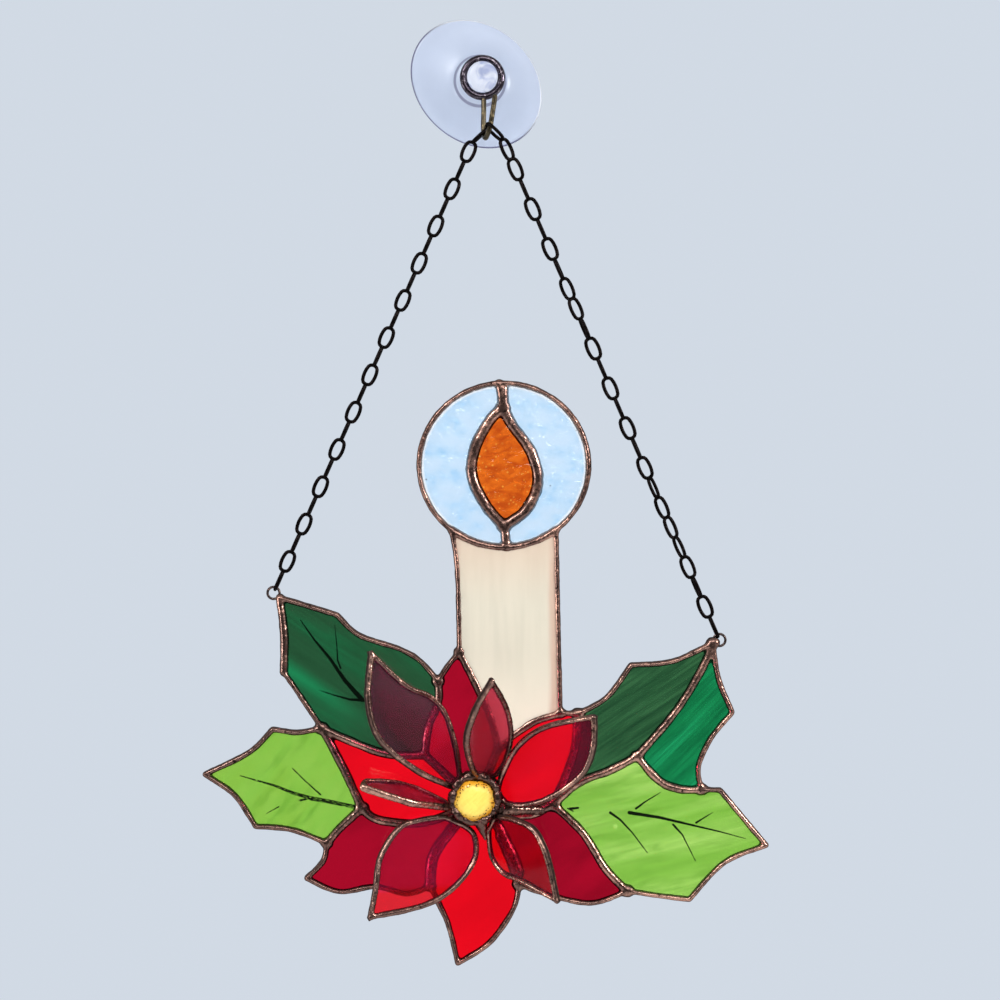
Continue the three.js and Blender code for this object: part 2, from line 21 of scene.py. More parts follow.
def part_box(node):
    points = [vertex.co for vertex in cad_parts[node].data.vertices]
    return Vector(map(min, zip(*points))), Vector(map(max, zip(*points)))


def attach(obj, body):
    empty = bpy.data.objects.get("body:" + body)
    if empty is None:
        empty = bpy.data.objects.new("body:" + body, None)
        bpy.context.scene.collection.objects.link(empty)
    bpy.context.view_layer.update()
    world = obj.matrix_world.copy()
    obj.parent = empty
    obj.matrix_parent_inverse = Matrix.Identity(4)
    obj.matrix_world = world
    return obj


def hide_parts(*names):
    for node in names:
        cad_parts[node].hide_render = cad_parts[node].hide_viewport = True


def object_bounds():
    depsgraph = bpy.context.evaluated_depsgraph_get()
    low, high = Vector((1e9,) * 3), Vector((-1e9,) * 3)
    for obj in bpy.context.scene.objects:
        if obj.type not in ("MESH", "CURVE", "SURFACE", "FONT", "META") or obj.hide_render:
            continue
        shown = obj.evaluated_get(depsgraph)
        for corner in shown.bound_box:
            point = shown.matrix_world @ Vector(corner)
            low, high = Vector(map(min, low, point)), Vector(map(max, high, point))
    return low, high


bl_info = {
    "name": "Stained Glass Suncatcher",
    "version": (1, 0, 0),
    "blender": (4, 5, 0),
    "location": "View3D > Sidebar > Suncatcher",
    "description": "Builds a candle and poinsettia suncatcher with its chains and suction cup",
    "category": "Object",
}

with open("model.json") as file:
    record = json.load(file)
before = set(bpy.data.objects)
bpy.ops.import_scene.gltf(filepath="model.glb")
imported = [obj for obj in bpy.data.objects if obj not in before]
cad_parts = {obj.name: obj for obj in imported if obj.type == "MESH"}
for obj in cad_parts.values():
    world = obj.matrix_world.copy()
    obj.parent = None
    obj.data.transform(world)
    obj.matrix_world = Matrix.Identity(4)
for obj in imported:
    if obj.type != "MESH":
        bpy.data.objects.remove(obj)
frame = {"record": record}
cad_low, cad_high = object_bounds()

MM = 0.001


def front_to_back(node):
    """Depths in front of the window of a node's front and back, in millimetres."""
    low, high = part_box(node)
    return -low.y / MM, -high.y / MM


bead_front, bead_back = front_to_back("solder_seams")
glass_front, glass_back = front_to_back("candle_glass")
hub_front, hub_back = front_to_back("flower_centre_solder")
gem_front, gem_back = front_to_back("flower_centre_gem")
PANEL_DEPTH = (glass_front + glass_back) / 2
STAND_UP = Matrix.Scale(MM, 4) @ Matrix.Rotation(math.radians(90), 4, "X")
ON_PANEL = STAND_UP @ Matrix.Translation((0, 0, PANEL_DEPTH))


# ---- Settings -----------------------------------------------------------------------------


def length_mm(name, description, default):
    return FloatProperty(name=name, description=description, default=default, min=0.0)


def colour(name, description, default):
    return FloatVectorProperty(
        name=name, description=description, default=default, subtype="COLOR", min=0.0, max=1.0
    )


class SolderSettings(bpy.types.PropertyGroup):
    """Sizes of the soldered seams, in millimetres, and the solder's colours."""

    rim: length_mm("Rim", "Half the width of the solder along an outer edge", 1.0)
    seam: length_mm("Seam", "Half the width of a seam between two pieces", 1.55)
    bold: length_mm("Bold Seam", "Half the width of the seams around the flame", 2.02)
    petal_rim: length_mm("Petal Rim", "Half the width of the foil around a raised petal", 1.05)
    voxel: length_mm("Voxel", "Grid on which the beads are fused", 0.49)
    lump_height: length_mm("Lump Height", "How far the solder's lumps stand up or sink", 0.22)
    lump_length: length_mm("Lump Length", "Distance from one lump to the next", 4.5)
    bronze: colour("Bronze", "Patina that covers most of the solder", (0.150, 0.088, 0.072))
    # Copper shows where the solder is worn, and as painted light towards the right and on the edge-on rim.
    copper: colour("Copper", "Rubbed and coppery places", (0.420, 0.235, 0.180))
    # This dark colour is the dark of the pits, and also painted shade along the foot of each bead.
    soot_and_foot_shade: colour("Soot", "Dark patina in the hollows", (0.016, 0.009, 0.008))


class GlassSettings(bpy.types.PropertyGroup):
    """Colours of the cut glass."""

    clear: colour("Clear", "Halo", (0.625, 0.785, 0.945))
    amber: colour("Amber", "Flame", (0.880, 0.175, 0.013))
    ivory: colour("Ivory", "Candle", (0.690, 0.645, 0.530))
    emerald: colour("Emerald", "Streaks and the far right holly leaf", (0.009, 0.255, 0.082))
    lime: colour("Lime", "Lower holly leaves", (0.265, 0.580, 0.072))
    scarlet: colour("Scarlet", "Bright red petals", (0.940, 0.0030, 0.013))
    crimson: colour("Crimson", "Deep red petals", (0.420, 0.0028, 0.021))
    yellow: colour("Yellow", "Nugget in the middle of the flower", (0.915, 0.690, 0.140))
    paint: colour("Paint", "Veins painted on the leaves", (0.0002, 0.0004, 0.0002))


class ChainSettings(bpy.types.PropertyGroup):
    """Sizes of the chains' links, in millimetres, and their colour."""

    width: length_mm("Link Width", "Across a link, middle to middle of its wire", 3.9)
    wire: length_mm("Wire", "Radius of a link's wire", 0.62)
    left_links: IntProperty(name="Left Links", description="Links in the left chain", default=25)
    right_links: IntProperty(name="Right Links", description="Links in the right chain", default=26)
    iron: colour("Iron", "Blackened wire", (0.004, 0.003, 0.003))


class HookSettings(bpy.types.PropertyGroup):
    """Sizes of the hook and the suction cup, in millimetres, and their colours."""

    wire: length_mm("Hook Wire", "Radius of the bent wire", 0.88)
    eye_radius: length_mm("Eye Radius", "Middle of the metal ring round the knob", 6.46)
    eye_wire: length_mm("Eye Wire", "Radius of that ring's section", 1.32)
    hanging_ring: length_mm("Hanging Ring", "Middle of a ring on the panel", 2.04)
    hanging_wire: length_mm("Hanging Ring Wire", "Radius of that ring's wire", 0.45)
    brass: colour("Brass", "Hook wire", (0.050, 0.040, 0.024))
    nickel: colour("Nickel", "Metal ring round the knob", (0.040, 0.032, 0.042))
    vinyl: colour("Vinyl", "Suction cup", (0.560, 0.630, 0.780))


class StageSettings(bpy.types.PropertyGroup):
    """The room, the lights and the camera."""

    backdrop: colour("Backdrop", "Plain backdrop", (0.640, 0.700, 0.780))
    daylight: colour("Daylight", "Light that comes through the glass", (0.960, 0.980, 1.000))
    room: colour("Room", "Dark room straight in front", (0.030, 0.030, 0.034))
    sides: colour("Sides", "Lighter surroundings, above, below and at the sides", (0.340, 0.340, 0.370))
    floor: colour("Floor", "Pale floor far below", (0.720, 0.730, 0.740))
    distance: FloatProperty(
        name="Distance",
        description="From the camera to the panel",
        default=0.850,
        subtype="DISTANCE",
        unit="LENGTH",
    )


# ---- The panel's plan ---------------------------------------------------------------------

HALO = {"x": 8.1, "y": -132.0, "rx": 28.8, "ry": 27.9}
FLOWER = (-2.0, -246.2)
RUN = 0.8  # spacing of the points along a drawn edge
INTO_SOLDER = 0.45  # how far a flat pane stands back from the middle of its seams
INTO_RIM = 1.1  # and a raised petal's pane from its outline
PETAL_PANE = 1.8  # thickness of a raised petal's glass
RIM_DEPTH = 1.4  # half the depth of the foil around it
# Painted light: the solder is made more coppery, so lighter, the further right it is.
PAINTED_LIGHT_LEAN = 0.0013  # how much more copper shows for each millimetre to the right
SEED_HEIGHTS = (-118, -134)  # between these the flame's bright seeds set in
TIP_HEIGHTS = (-271.5, -274.5)  # between these a petal turns to the red of its tip
DROP_DABS, TONGUE_DABS = 11, 15  # dabs in the two runs of solder from the flower's middle
LUMP_LEAN = math.radians(65)  # the lump there reaches furthest in this direction
BRUSH = 1.25  # painted veins are this much broader than their drawn widths
RING_PLAY = 0.3  # from a ring's wire to the middle of the last link's wire

# The stage, in metres.
CAMERA_AT = (0.0068, -0.1438)  # across and up
VIEW_WIDTH = 0.340  # what the camera sees across at the panel
FLOOR_RADIUS, FLOOR_DROP = 0.9, 0.25
# Each light: where it stands from the middle of the part, its size and its power in watts.
LIGHTS = {
    "key_light": ((-0.50, -0.60, 0.55), 0.22, 6.0),
    "right_light": ((0.75, -0.35, 0.25), 0.14, 6.5),
    "left_light": ((-0.80, -0.20, -0.10), 0.20, 2.5),
    "front_light": ((0.15, -0.95, 0.60), 0.60, 7.0),
}


def on_halo(degrees):
    angle = math.radians(degrees)
    return HALO["x"] + HALO["rx"] * math.cos(angle), HALO["y"] + HALO["ry"] * math.sin(angle)


HALO_AT = {"top": 93, "left": 232, "foot": 272, "right": 308}

# Points where three edges meet, or where an outline turns a corner.
AT = {
    "halo_top": on_halo(HALO_AT["top"]),
    "halo_left": on_halo(HALO_AT["left"]),
    "halo_foot": on_halo(HALO_AT["foot"]),
    "halo_right": on_halo(HALO_AT["right"]),
    "flame_tip": (7.8, -112.5),
    "flame_foot": (8.2, -152.7),
    "candle_left": (-6.9, -195.5),
    "candle_foot": (5.8, -228),
    "candle_right": (27.2, -216.2),
    "ring_left": (-68, -177.1),
    "leaf_1_top": (-48.6, -182.9),
    "leaf_1_side": (-66.6, -202.3),
    "leaf_1_petal": (-14.3, -205.4),
    "leaf_1_leaf_2": (-53.7, -221.3),
    "leaf_1_foot": (-19, -230.5),
    "leaf_2_top": (-70.4, -221.7),
    "leaf_2_tip": (-93.5, -237),
    "leaf_2_side": (-76.2, -254.7),
    "leaf_2_petals": (-40.1, -248.5),
    "leaf_2_foot": (-52, -260.4),
    "heart": FLOWER,
    "petal_3_tip": (-58.8, -272.3),
    "petal_3_petal_4": (-17, -275),
    "petal_4_tip": (-7.5, -301.2),
    "petal_4_petal_5": (13.3, -274.4),
    "petal_5_leaf": (50, -276.6),
    "petal_5_petal_6": (24.8, -247.2),
    "petal_6_leaf": (33.3, -216.4),
    "leaf_3_top": (51.3, -199.9),
    "ring_right": (79.2, -192.4),
    "midrib_foot": (53.4, -230.9),
    "leaf_4_side": (85.7, -215.9),
    "leaf_4_leaf_5": (75.2, -242.2),
    "leaf_5_top": (81.6, -242.4),
    "leaf_5_tip": (97.2, -261.1),
    "leaf_5_side": (71.1, -279.5),
}

# Every soldered edge: its kind, where it starts, the points it bends through and where it ends.
EDGES = {
    "wick_top": ("seam", "halo_top", [], "flame_tip"),
    "wick_foot": ("seam", "flame_foot", [], "halo_foot"),
    "flame_left": (
        "bold", "flame_tip", [(3.4, -116.6), (-1.8, -126.5), (-2.6, -136), (2.2, -146)], "flame_foot"
    ),
    "flame_right": (
        "bold", "flame_tip", [(10.9, -118.3), (17.6, -128), (19.6, -138), (15.6, -147.3)], "flame_foot"
    ),
    "candle_left_side": ("rim", "halo_left", [(-7.6, -168)], "candle_left"),
    "candle_right_side": ("rim", "halo_right", [(26.3, -180)], "candle_right"),
    "candle_foot_left": ("seam", "candle_left", [(-0.7, -207.7), (4.3, -220)], "candle_foot"),
    "candle_foot_right": ("seam", "candle_foot", [(11.2, -223.7), (18.6, -218.9)], "candle_right"),
    "leaf_1_top_tip": ("rim", "ring_left", [(-59, -179.7)], "leaf_1_top"),
    "leaf_1_top_edge": (
        "rim", "leaf_1_top", [(-41, -189.8), (-27.2, -194.5), (-20, -198.8)], "leaf_1_petal"
    ),
    "leaf_1_side_tip": ("seam", "ring_left", [(-66.5, -190)], "leaf_1_side"),
    "leaf_1_side_edge": ("rim", "leaf_1_side", [(-61.2, -210.1)], "leaf_1_leaf_2"),
    "leaf_1_seam": ("seam", "leaf_1_leaf_2", [(-46, -224.9), (-32, -230)], "leaf_1_foot"),
    "leaf_1_petal_seam": ("seam", "leaf_1_petal", [(-14.2, -212), (-17.8, -221)], "leaf_1_foot"),
    "leaf_2_top_edge": ("rim", "leaf_1_leaf_2", [(-62, -222.8)], "leaf_2_top"),
    "leaf_2_top_tip": ("rim", "leaf_2_top", [(-78.5, -229.6)], "leaf_2_tip"),
    "leaf_2_side_tip": ("rim", "leaf_2_tip", [(-83.4, -244)], "leaf_2_side"),
    "leaf_2_side_edge": ("rim", "leaf_2_side", [(-64, -255.8)], "leaf_2_foot"),
    "leaf_2_petal_2": ("seam", "leaf_1_leaf_2", [(-46.4, -235)], "leaf_2_petals"),
    "leaf_2_petal_3": ("seam", "leaf_2_petals", [(-47.6, -255.3)], "leaf_2_foot"),
    "petal_1_rim": ("rim", "candle_left", [(-10.6, -199.8)], "leaf_1_petal"),
    "petal_1_petal_2": ("seam", "leaf_1_foot", [], "heart"),
    "petal_2_petal_3": ("seam", "leaf_2_petals", [(-34, -252.6), (-18, -253.2)], "heart"),
    "petal_3_rim": ("rim", "leaf_2_foot", [(-53.3, -266.5)], "petal_3_tip"),
    "petal_3_foot": (
        "rim", "petal_3_tip", [(-48, -276.8), (-35.7, -275.2), (-25, -277.6)], "petal_3_petal_4"
    ),
    "petal_3_petal_4_seam": ("bold", "heart", [(-9.5, -255.3), (-16, -265)], "petal_3_petal_4"),
    "petal_4_left": ("rim", "petal_3_petal_4", [(-11, -287.5)], "petal_4_tip"),
    "petal_4_right": ("rim", "petal_4_tip", [(3.4, -294), (11.2, -283)], "petal_4_petal_5"),
    "petal_4_petal_5_seam": ("bold", "heart", [(5.8, -253.3), (11.2, -265)], "petal_4_petal_5"),
    "petal_5_foot": ("rim", "petal_4_petal_5", [(23.5, -278), (38, -280.7)], "petal_5_leaf"),
    "petal_5_leaf_seam": ("seam", "petal_5_petal_6", [(35, -257), (42.5, -268.9)], "petal_5_leaf"),
    "petal_5_petal_6_seam": ("seam", "heart", [(9, -250.4), (17.5, -250.7)], "petal_5_petal_6"),
    "petal_6_rim": ("rim", "candle_right", [], "petal_6_leaf"),
    "petal_6_petal_1": ("seam", "candle_foot", [], "heart"),
    "petal_6_leaf_seam": ("seam", "petal_6_leaf", [(32.6, -227.5), (29, -238.6)], "petal_5_petal_6"),
    "leaf_3_top_edge": ("rim", "petal_6_leaf", [(43.2, -210.8)], "leaf_3_top"),
    "leaf_3_top_tip": ("rim", "leaf_3_top", [(65.5, -198.6)], "ring_right"),
    "midrib": ("seam", "ring_right", [(74.8, -202.3), (66, -216.3)], "midrib_foot"),
    "leaf_3_leaf_5": ("seam", "midrib_foot", [(44.2, -235.6), (33.6, -239.8)], "petal_5_petal_6"),
    "leaf_4_top_tip": ("rim", "ring_right", [(81, -204.5)], "leaf_4_side"),
    "leaf_4_side_edge": ("rim", "leaf_4_side", [(78.4, -224.8), (74.2, -234.5)], "leaf_4_leaf_5"),
    "leaf_4_leaf_5_seam": ("seam", "midrib_foot", [(61, -239.2), (68, -242)], "leaf_4_leaf_5"),
    "leaf_5_top_edge": ("rim", "leaf_4_leaf_5", [], "leaf_5_top"),
    "leaf_5_top_tip": ("rim", "leaf_5_top", [(89.2, -251.6)], "leaf_5_tip"),
    "leaf_5_side_tip": ("rim", "leaf_5_tip", [(83, -267)], "leaf_5_side"),
    "leaf_5_foot": ("rim", "leaf_5_side", [(60.5, -278.2)], "petal_5_leaf"),
}

# The halo's own edges are arcs: kind, first and last angle.
ARCS = {
    "halo_rim_left": ("rim", HALO_AT["top"], HALO_AT["left"]),
    "halo_rim_right": ("rim", HALO_AT["right"] - 360, HALO_AT["top"]),
    "halo_seam_left": ("seam", HALO_AT["left"], HALO_AT["foot"]),
    "halo_seam_right": ("seam", HALO_AT["foot"], HALO_AT["right"]),
}

# Puddles of solder where seams meet, and their half widths.
PUDDLES = {
    "leaf_1_leaf_2": 2.3, "leaf_2_petals": 2.4, "leaf_1_petal": 2.2, "candle_left": 1.9,
    "candle_right": 1.9,
    "petal_3_petal_4": 2.0, "petal_4_petal_5": 2.2, "petal_5_leaf": 2.4, "petal_5_petal_6": 2.7,
    "petal_6_leaf": 2.2, "midrib_foot": 2.2, "leaf_4_leaf_5": 2.2, "ring_right": 2.1, "flame_tip": 2.5,
    "flame_foot": 2.4, "leaf_2_foot": 1.9, "halo_foot": 1.9,
}

# Places where more solder was run along a seam: its points and its half width.
THICKENED = [
    ([(8.0, -106.2), (7.9, -112.0)], 1.85),
    ([(8.3, -153.0), (8.9, -158.3)], 1.75),
    ([(7.5, -248.4), (12.5, -249.4), (18.0, -249.3), (22.5, -248.0)], 1.9),
    ([(7.9, -257.8), (11.2, -265.0), (13.2, -270.2)], 2.45),
]

# Each pane of flat glass: the edges around it, in order.
HALO_AND_CANDLE = {
    "halo_glass_left": "halo_rim_left halo_seam_left wick_foot flame_left wick_top",
    "halo_glass_right": "wick_top flame_right wick_foot halo_seam_right halo_rim_right",
    "flame_glass": "flame_left flame_right",
    "candle_glass": "halo_seam_left halo_seam_right candle_right_side candle_foot_right"
    " candle_foot_left candle_left_side",
}
LEAVES = {
    "holly_glass_upper_left": "leaf_1_side_tip leaf_1_side_edge leaf_1_seam leaf_1_petal_seam"
    " leaf_1_top_edge leaf_1_top_tip",
    "holly_glass_lower_left": "leaf_2_top_edge leaf_2_top_tip leaf_2_side_tip leaf_2_side_edge"
    " leaf_2_petal_3 leaf_2_petal_2",
    "holly_glass_upper_right": "leaf_3_top_edge leaf_3_top_tip midrib leaf_3_leaf_5 petal_6_leaf_seam",
    "holly_glass_far_right": "leaf_4_top_tip leaf_4_side_edge leaf_4_leaf_5_seam midrib",
    "holly_glass_lower_right": "leaf_5_top_edge leaf_5_top_tip leaf_5_side_tip leaf_5_foot"
    " petal_5_leaf_seam leaf_3_leaf_5 leaf_4_leaf_5_seam",
}
BACK_PETALS = {
    "back_petal_glass_top": "petal_1_rim leaf_1_petal_seam petal_1_petal_2 petal_6_petal_1"
    " candle_foot_left",
    "back_petal_glass_left": "leaf_1_seam petal_1_petal_2 petal_2_petal_3 leaf_2_petal_2",
    "back_petal_glass_lower_left": "petal_2_petal_3 petal_3_petal_4_seam petal_3_foot petal_3_rim"
    " leaf_2_petal_3",
    "back_petal_glass_bottom": "petal_3_petal_4_seam petal_4_petal_5_seam petal_4_right petal_4_left",
    "back_petal_glass_lower_right": "petal_4_petal_5_seam petal_5_petal_6_seam petal_5_leaf_seam"
    " petal_5_foot",
    "back_petal_glass_right": "petal_6_petal_1 petal_5_petal_6_seam petal_6_leaf_seam petal_6_rim"
    " candle_foot_right",
}

# Raised petals: direction and distance of the root from the flower's middle, then heading, lift
# and roll in degrees, and the outline, x along the petal and y to its left, from root to tip.
ROOT_DEPTH = 19.5
PETALS = {
    "upper_left": {
        "root": (135, 8.2), "turn": (121.4, 17, 36),
        "left": [(0.4, 2.3), (14.5, 10.8), (32, 16.2), (45.8, 11.6)],
        "tip": (57.9, -0.4),
        "right": [(40.4, -5.1), (30.9, -10.9), (22, -12.5), (10.7, -9), (0.8, -3.6)],
    },
    "top": {
        "root": (62, 8.2), "turn": (85.9, 38, 38),
        "left": [(0, 1.5), (9.3, 6.9), (24.8, 10.2), (38, 6.8)],
        "tip": (48.2, 0.4),
        "right": [(31.9, -7.1), (18, -10.2), (6.5, -8.8), (0.9, -4.8)],
    },
    "right": {
        "root": (18, 8.2), "turn": (42.7, 28, -18),
        "left": [(0, 1.5), (6.5, 5.6), (18, 9.4), (31.5, 8.3)],
        "tip": (50.2, -0.1),
        "right": [(43.3, -8.4), (33.4, -13.6), (18, -13), (6.8, -9.2), (0.6, -4.3)],
    },
    "left": {
        "root": (190, 7.5), "turn": (163.2, 30, 74),
        "left": [(0, 1), (10.2, 3.4), (19, 4.5)],
        "tip": (36.3, 0.7),
        "right": [(33, -5.2), (22.8, -9.2), (12.5, -10), (6, -6.6), (0.5, -3.5)],
    },
    "lower_left": {
        "root": (223, 7.5), "turn": (226.8, 22, -8),
        "left": [(-1, 3), (-1, 8.5), (5.2, 14.4), (17, 15.6), (29.6, 11.8)],
        "tip": (46.7, -0.2),
        "right": [(37.6, -5.9), (28.5, -12), (16.5, -13.9), (9, -10.2), (2, -4.6)],
    },
    "lower_right": {
        "root": (-46.5, 8.2), "turn": (-47.7, 30, 40),
        "left": [(0, 4), (7.8, 10.3), (17, 14.2), (27, 10.6)],
        "tip": (39.1, 0.3),
        "right": [(23.7, -6.6), (14, -11.7), (6, -10.6), (0, -3.4)],
    },
}

# The glass of each raised petal: its colour, and how clear it is. The colours are partly painted reflection:
# blue is raised in them, and the clearness kept below 1, so that a dull share of each petal shows a bluish
# haze like reflected sky.
PETAL_GLASS = {
    "upper_left": ((0.960, 0.190, 0.410), 0.985),
    "top": ((0.570, 0.060, 0.105), 0.86),
    "right": ((0.890, 0.050, 0.180), 0.970),
    "left": ((0.330, 0.035, 0.095), 0.90),
    "lower_left": ((0.800, 0.040, 0.170), 0.935),
    "lower_right": ((0.900, 0.045, 0.130), 0.985),
}

# The red that the tip of a petal turns to.
PETAL_TIPS = {"lower_left": (0.710, 0.020, 0.032)}

# Veins painted on the leaves: half width at the first and last point, then the points.
VEINS = {
    "upper_left": [
        (0.15, 0.70, [(-60.9, -184.6), (-56.1, -191.4), (-51, -197.5), (-45.9, -205), (-40.1, -211.5)]),
        (0.10, 0.28, [(-49.3, -186.3), (-48.6, -193.1), (-48.3, -198.2), (-47.3, -200.9)]),
        (0.10, 0.45, [(-54.4, -208.4), (-49.3, -210.1), (-44.2, -211.5), (-39.4, -211.8)]),
    ],
    "lower_left": [
        (0.14, 0.55, [(-81.6, -237.3), (-75.8, -239), (-69.7, -240.7), (-63.9, -243.1), (-57.1, -245.1)]),
        (0.62, 0.55, [(-57.1, -245.1), (-51, -246.2), (-42.8, -247.9)]),
        (0.16, 0.24, [(-63.6, -234.9), (-59.5, -239), (-54.1, -243.8)]),
        (0.30, 0.30, [(-61.2, -245.8), (-57.1, -244.8)]),
        (0.10, 0.20, [(-72.4, -250.2), (-68.3, -247.9)]),
    ],
    "lower_right": [
        (0.52, 0.10, [(50.7, -249.9), (61.2, -251.6), (71.4, -254), (81.6, -256.4), (90.1, -258.7)]),
        (0.34, 0.10, [(53, -248.5), (56.1, -246.2), (61.2, -243.1)]),
        (0.30, 0.10, [(73.4, -253.3), (78.9, -249.9)]),
        (0.38, 0.12, [(44.2, -249.9), (47.6, -252.3), (51.7, -256.7), (56.8, -263.5)]),
        (0.32, 0.12, [(65.6, -254), (68.7, -257.4), (73.1, -266.2)]),
        (0.40, 0.30, [(30.6, -248.6), (33.3, -248.3)]),
        (0.22, 0.20, [(29.8, -248.5), (31.6, -249.4)]),
    ],
}

# Route of the hook's wire: x and y as on the panel, then the distance from the window.
HOOK_ROUTE = [
    (1.2, -5.9, 7.45), (1.25, -11, 8.6), (1.15, -16, 9), (1.35, -19.3, 9.7),
    (1.95, -20.7, 12), (2.75, -19.3, 14.3), (3.7, -16, 15), (5.1, -7.2, 15.6),
]
EYE_AT = (0.8, 0.6, 7.45)  # middle of the metal ring round the neck of the cup
HANGING_RINGS = {"left": (-70.2, -175.4), "right": (81.4, -191.4)}
CHAIN_ROUTES = {
    "left": {"hook": (2.6, -17.1, 9), "bend": (-2.55, -21.8, 9)},
    "right": {"hook": (2.3, -16.5, 15), "bend": (7.65, -21.6, 15)},
}


# ---- Drawing in the plane -----------------------------------------------------------------


def smooth(knots):
    """The smooth curve through a few knots, in two or three dimensions, evenly spaced."""
    knots = np.array(knots, float)
    if len(knots) > 2:
        last = len(knots) - 1
        t = np.linspace(0, last, 40 * last + 1)
        i = np.minimum(t.astype(int), last - 1)
        t = (t - i)[:, None]
        before, start = knots[np.maximum(i - 1, 0)], knots[i]
        end, after = knots[i + 1], knots[np.minimum(i + 2, last)]
        out, into = (end - before) / 2, (after - start) / 2
        bend = (2 * start - 2 * end + out + into) * t**3 + (3 * end - 3 * start - 2 * out - into) * t**2
        knots = bend + out * t + start
    return respace(knots)


def respace(points, spacing=RUN):
    """The same line with its points an even distance apart."""
    steps = np.linalg.norm(np.diff(points, axis=0), axis=1)
    along = np.concatenate([[0], np.cumsum(steps)])
    count = max(2, round(along[-1] / spacing) + 1)
    even = np.linspace(0, along[-1], count)
    return np.column_stack([np.interp(even, along, column) for column in points.T])


def drawn_edges():
    """Every edge of the panel as its kind and its points."""
    drawn = {}
    for name, (kind, start, via, end) in EDGES.items():
        drawn[name] = (kind, smooth([AT[start], *via, AT[end]]))
    for name, (kind, first, last) in ARCS.items():
        arc = np.array([on_halo(angle) for angle in np.linspace(first, last, 120)])
        drawn[name] = (kind, respace(arc))
    return drawn


def outline_of(edges):
    """Puts edges end to end, each turned the way the last one left off, and closes the loop."""

    def meet(a, b):
        return np.linalg.norm(a - b) < RUN / 100

    first, second = edges[0], edges[1]
    starts_right = meet(first[-1], second[0]) or meet(first[-1], second[-1])
    outline = list(first if starts_right else first[::-1])
    for points in edges[1:]:
        points = points if meet(points[0], outline[-1]) else points[::-1]
        outline.extend(points[1:])
    return np.array(outline[:-1])


def drawn_in(outline, distance):
    """A closed outline moved inwards by an even distance, with its corners mitred."""
    following = np.roll(outline, -1, axis=0)
    area = np.sum(outline[:, 0] * following[:, 1] - following[:, 0] * outline[:, 1]) / 2
    along = following - outline
    along /= np.linalg.norm(along, axis=1)[:, None]
    inward = np.column_stack([-along[:, 1], along[:, 0]]) * math.copysign(1, area)
    mitre = inward + np.roll(inward, 1, axis=0)
    mitre /= np.linalg.norm(mitre, axis=1)[:, None]
    reach = distance / np.maximum(np.sum(mitre * inward, axis=1), 0.45)
    return outline + mitre * reach[:, None]


def petal_edges(petal):
    sides = [
        [*petal["left"], petal["tip"]],
        [petal["tip"], *petal["right"]],
        [petal["right"][-1], petal["left"][0]],
    ]
    return [smooth(side) for side in sides]


def petal_matrix(petal):
    """Stands a raised petal up from the flower's middle."""
    direction, radius = petal["root"]
    heading, lift, roll = (math.radians(angle) for angle in petal["turn"])
    angle = math.radians(direction)
    root = Vector((FLOWER[0] + radius * math.cos(angle), FLOWER[1] + radius * math.sin(angle), ROOT_DEPTH))
    turn = Matrix.Rotation(heading, 4, "Z") @ Matrix.Rotation(-lift, 4, "Y") @ Matrix.Rotation(roll, 4, "X")
    return STAND_UP @ Matrix.Translation(root) @ turn


# ---- Small helpers ------------------------------------------------------------------------


def add_node(tree, kind, inputs=None, **settings):
    """A node with its settings, and with each input set to a value or linked to a socket."""
    made = tree.nodes.new(kind)
    for name, value in settings.items():
        setattr(made, name, value)
    for key, value in (inputs or {}).items():
        if isinstance(value, bpy.types.NodeSocket):
            tree.links.new(value, made.inputs[key])
        else:
            made.inputs[key].default_value = value
    return made


def calculate(tree, operation, *values):
    """A Math node's result."""
    return add_node(tree, "ShaderNodeMath", dict(enumerate(values)), operation=operation).outputs[0]


def plus(tree, first, second):
    return calculate(tree, "ADD", first, second)


def minus(tree, first, second):
    return calculate(tree, "SUBTRACT", first, second)


def times(tree, first, second):
    return calculate(tree, "MULTIPLY", first, second)


def vector(tree, operation, *values):
    """A Vector Math node's result: a number for a length, a distance or a dot product."""
    made = add_node(tree, "ShaderNodeVectorMath", dict(enumerate(values)), operation=operation)
    return made.outputs["Value" if operation in {"LENGTH", "DISTANCE", "DOT_PRODUCT"} else 0]


def scaled(tree, value, factor):
    """A vector made longer or shorter."""
    return add_node(tree, "ShaderNodeVectorMath", {0: value, "Scale": factor}, operation="SCALE").outputs[0]


def parts_of(tree, value):
    """A vector's x, y and z."""
    return add_node(tree, "ShaderNodeSeparateXYZ", {0: value}).outputs


def position(tree):
    return add_node(tree, "GeometryNodeInputPosition").outputs[0]


def plain_object(name, mesh):
    made = bpy.data.objects.new(name, mesh)
    bpy.context.scene.collection.objects.link(made)
    return made


def line_mesh(name, lines, widths=None):
    """A mesh of bare lines. Each point keeps the half width of its line."""
    points, pairs, halves = [], [], []
    for index, line in enumerate(lines):
        first = len(points)
        points.extend((*p, 0.0)[:3] for p in line)
        pairs.extend((i, i + 1) for i in range(first, len(points) - 1))
        halves.extend([widths[index] if widths else 1.0] * len(line))
    mesh = bpy.data.meshes.new(name)
    mesh.from_pydata(points, pairs, [])
    mesh.attributes.new("half_width", "FLOAT", "POINT").data.foreach_set("value", halves)
    return mesh


def run_tree(obj, tree, values):
    """Adds a node tree to an object, with its inputs set by name."""
    modifier = obj.modifiers.new(tree.name, "NODES")
    modifier.node_group = tree
    for item in tree.interface.items_tree:
        if item.in_out == "INPUT" and item.name in values:
            modifier[item.identifier] = values[item.name]
    return modifier


def fuse(obj, voxel, flow):
    """Melts overlapping forms into one skin and lets it flow into its corners."""
    modifier = obj.modifiers.new("fuse", "REMESH")
    modifier.mode = "VOXEL"
    modifier.voxel_size = voxel
    modifier.use_smooth_shade = True
    modifier = obj.modifiers.new("flow", "SMOOTH")
    modifier.iterations = flow


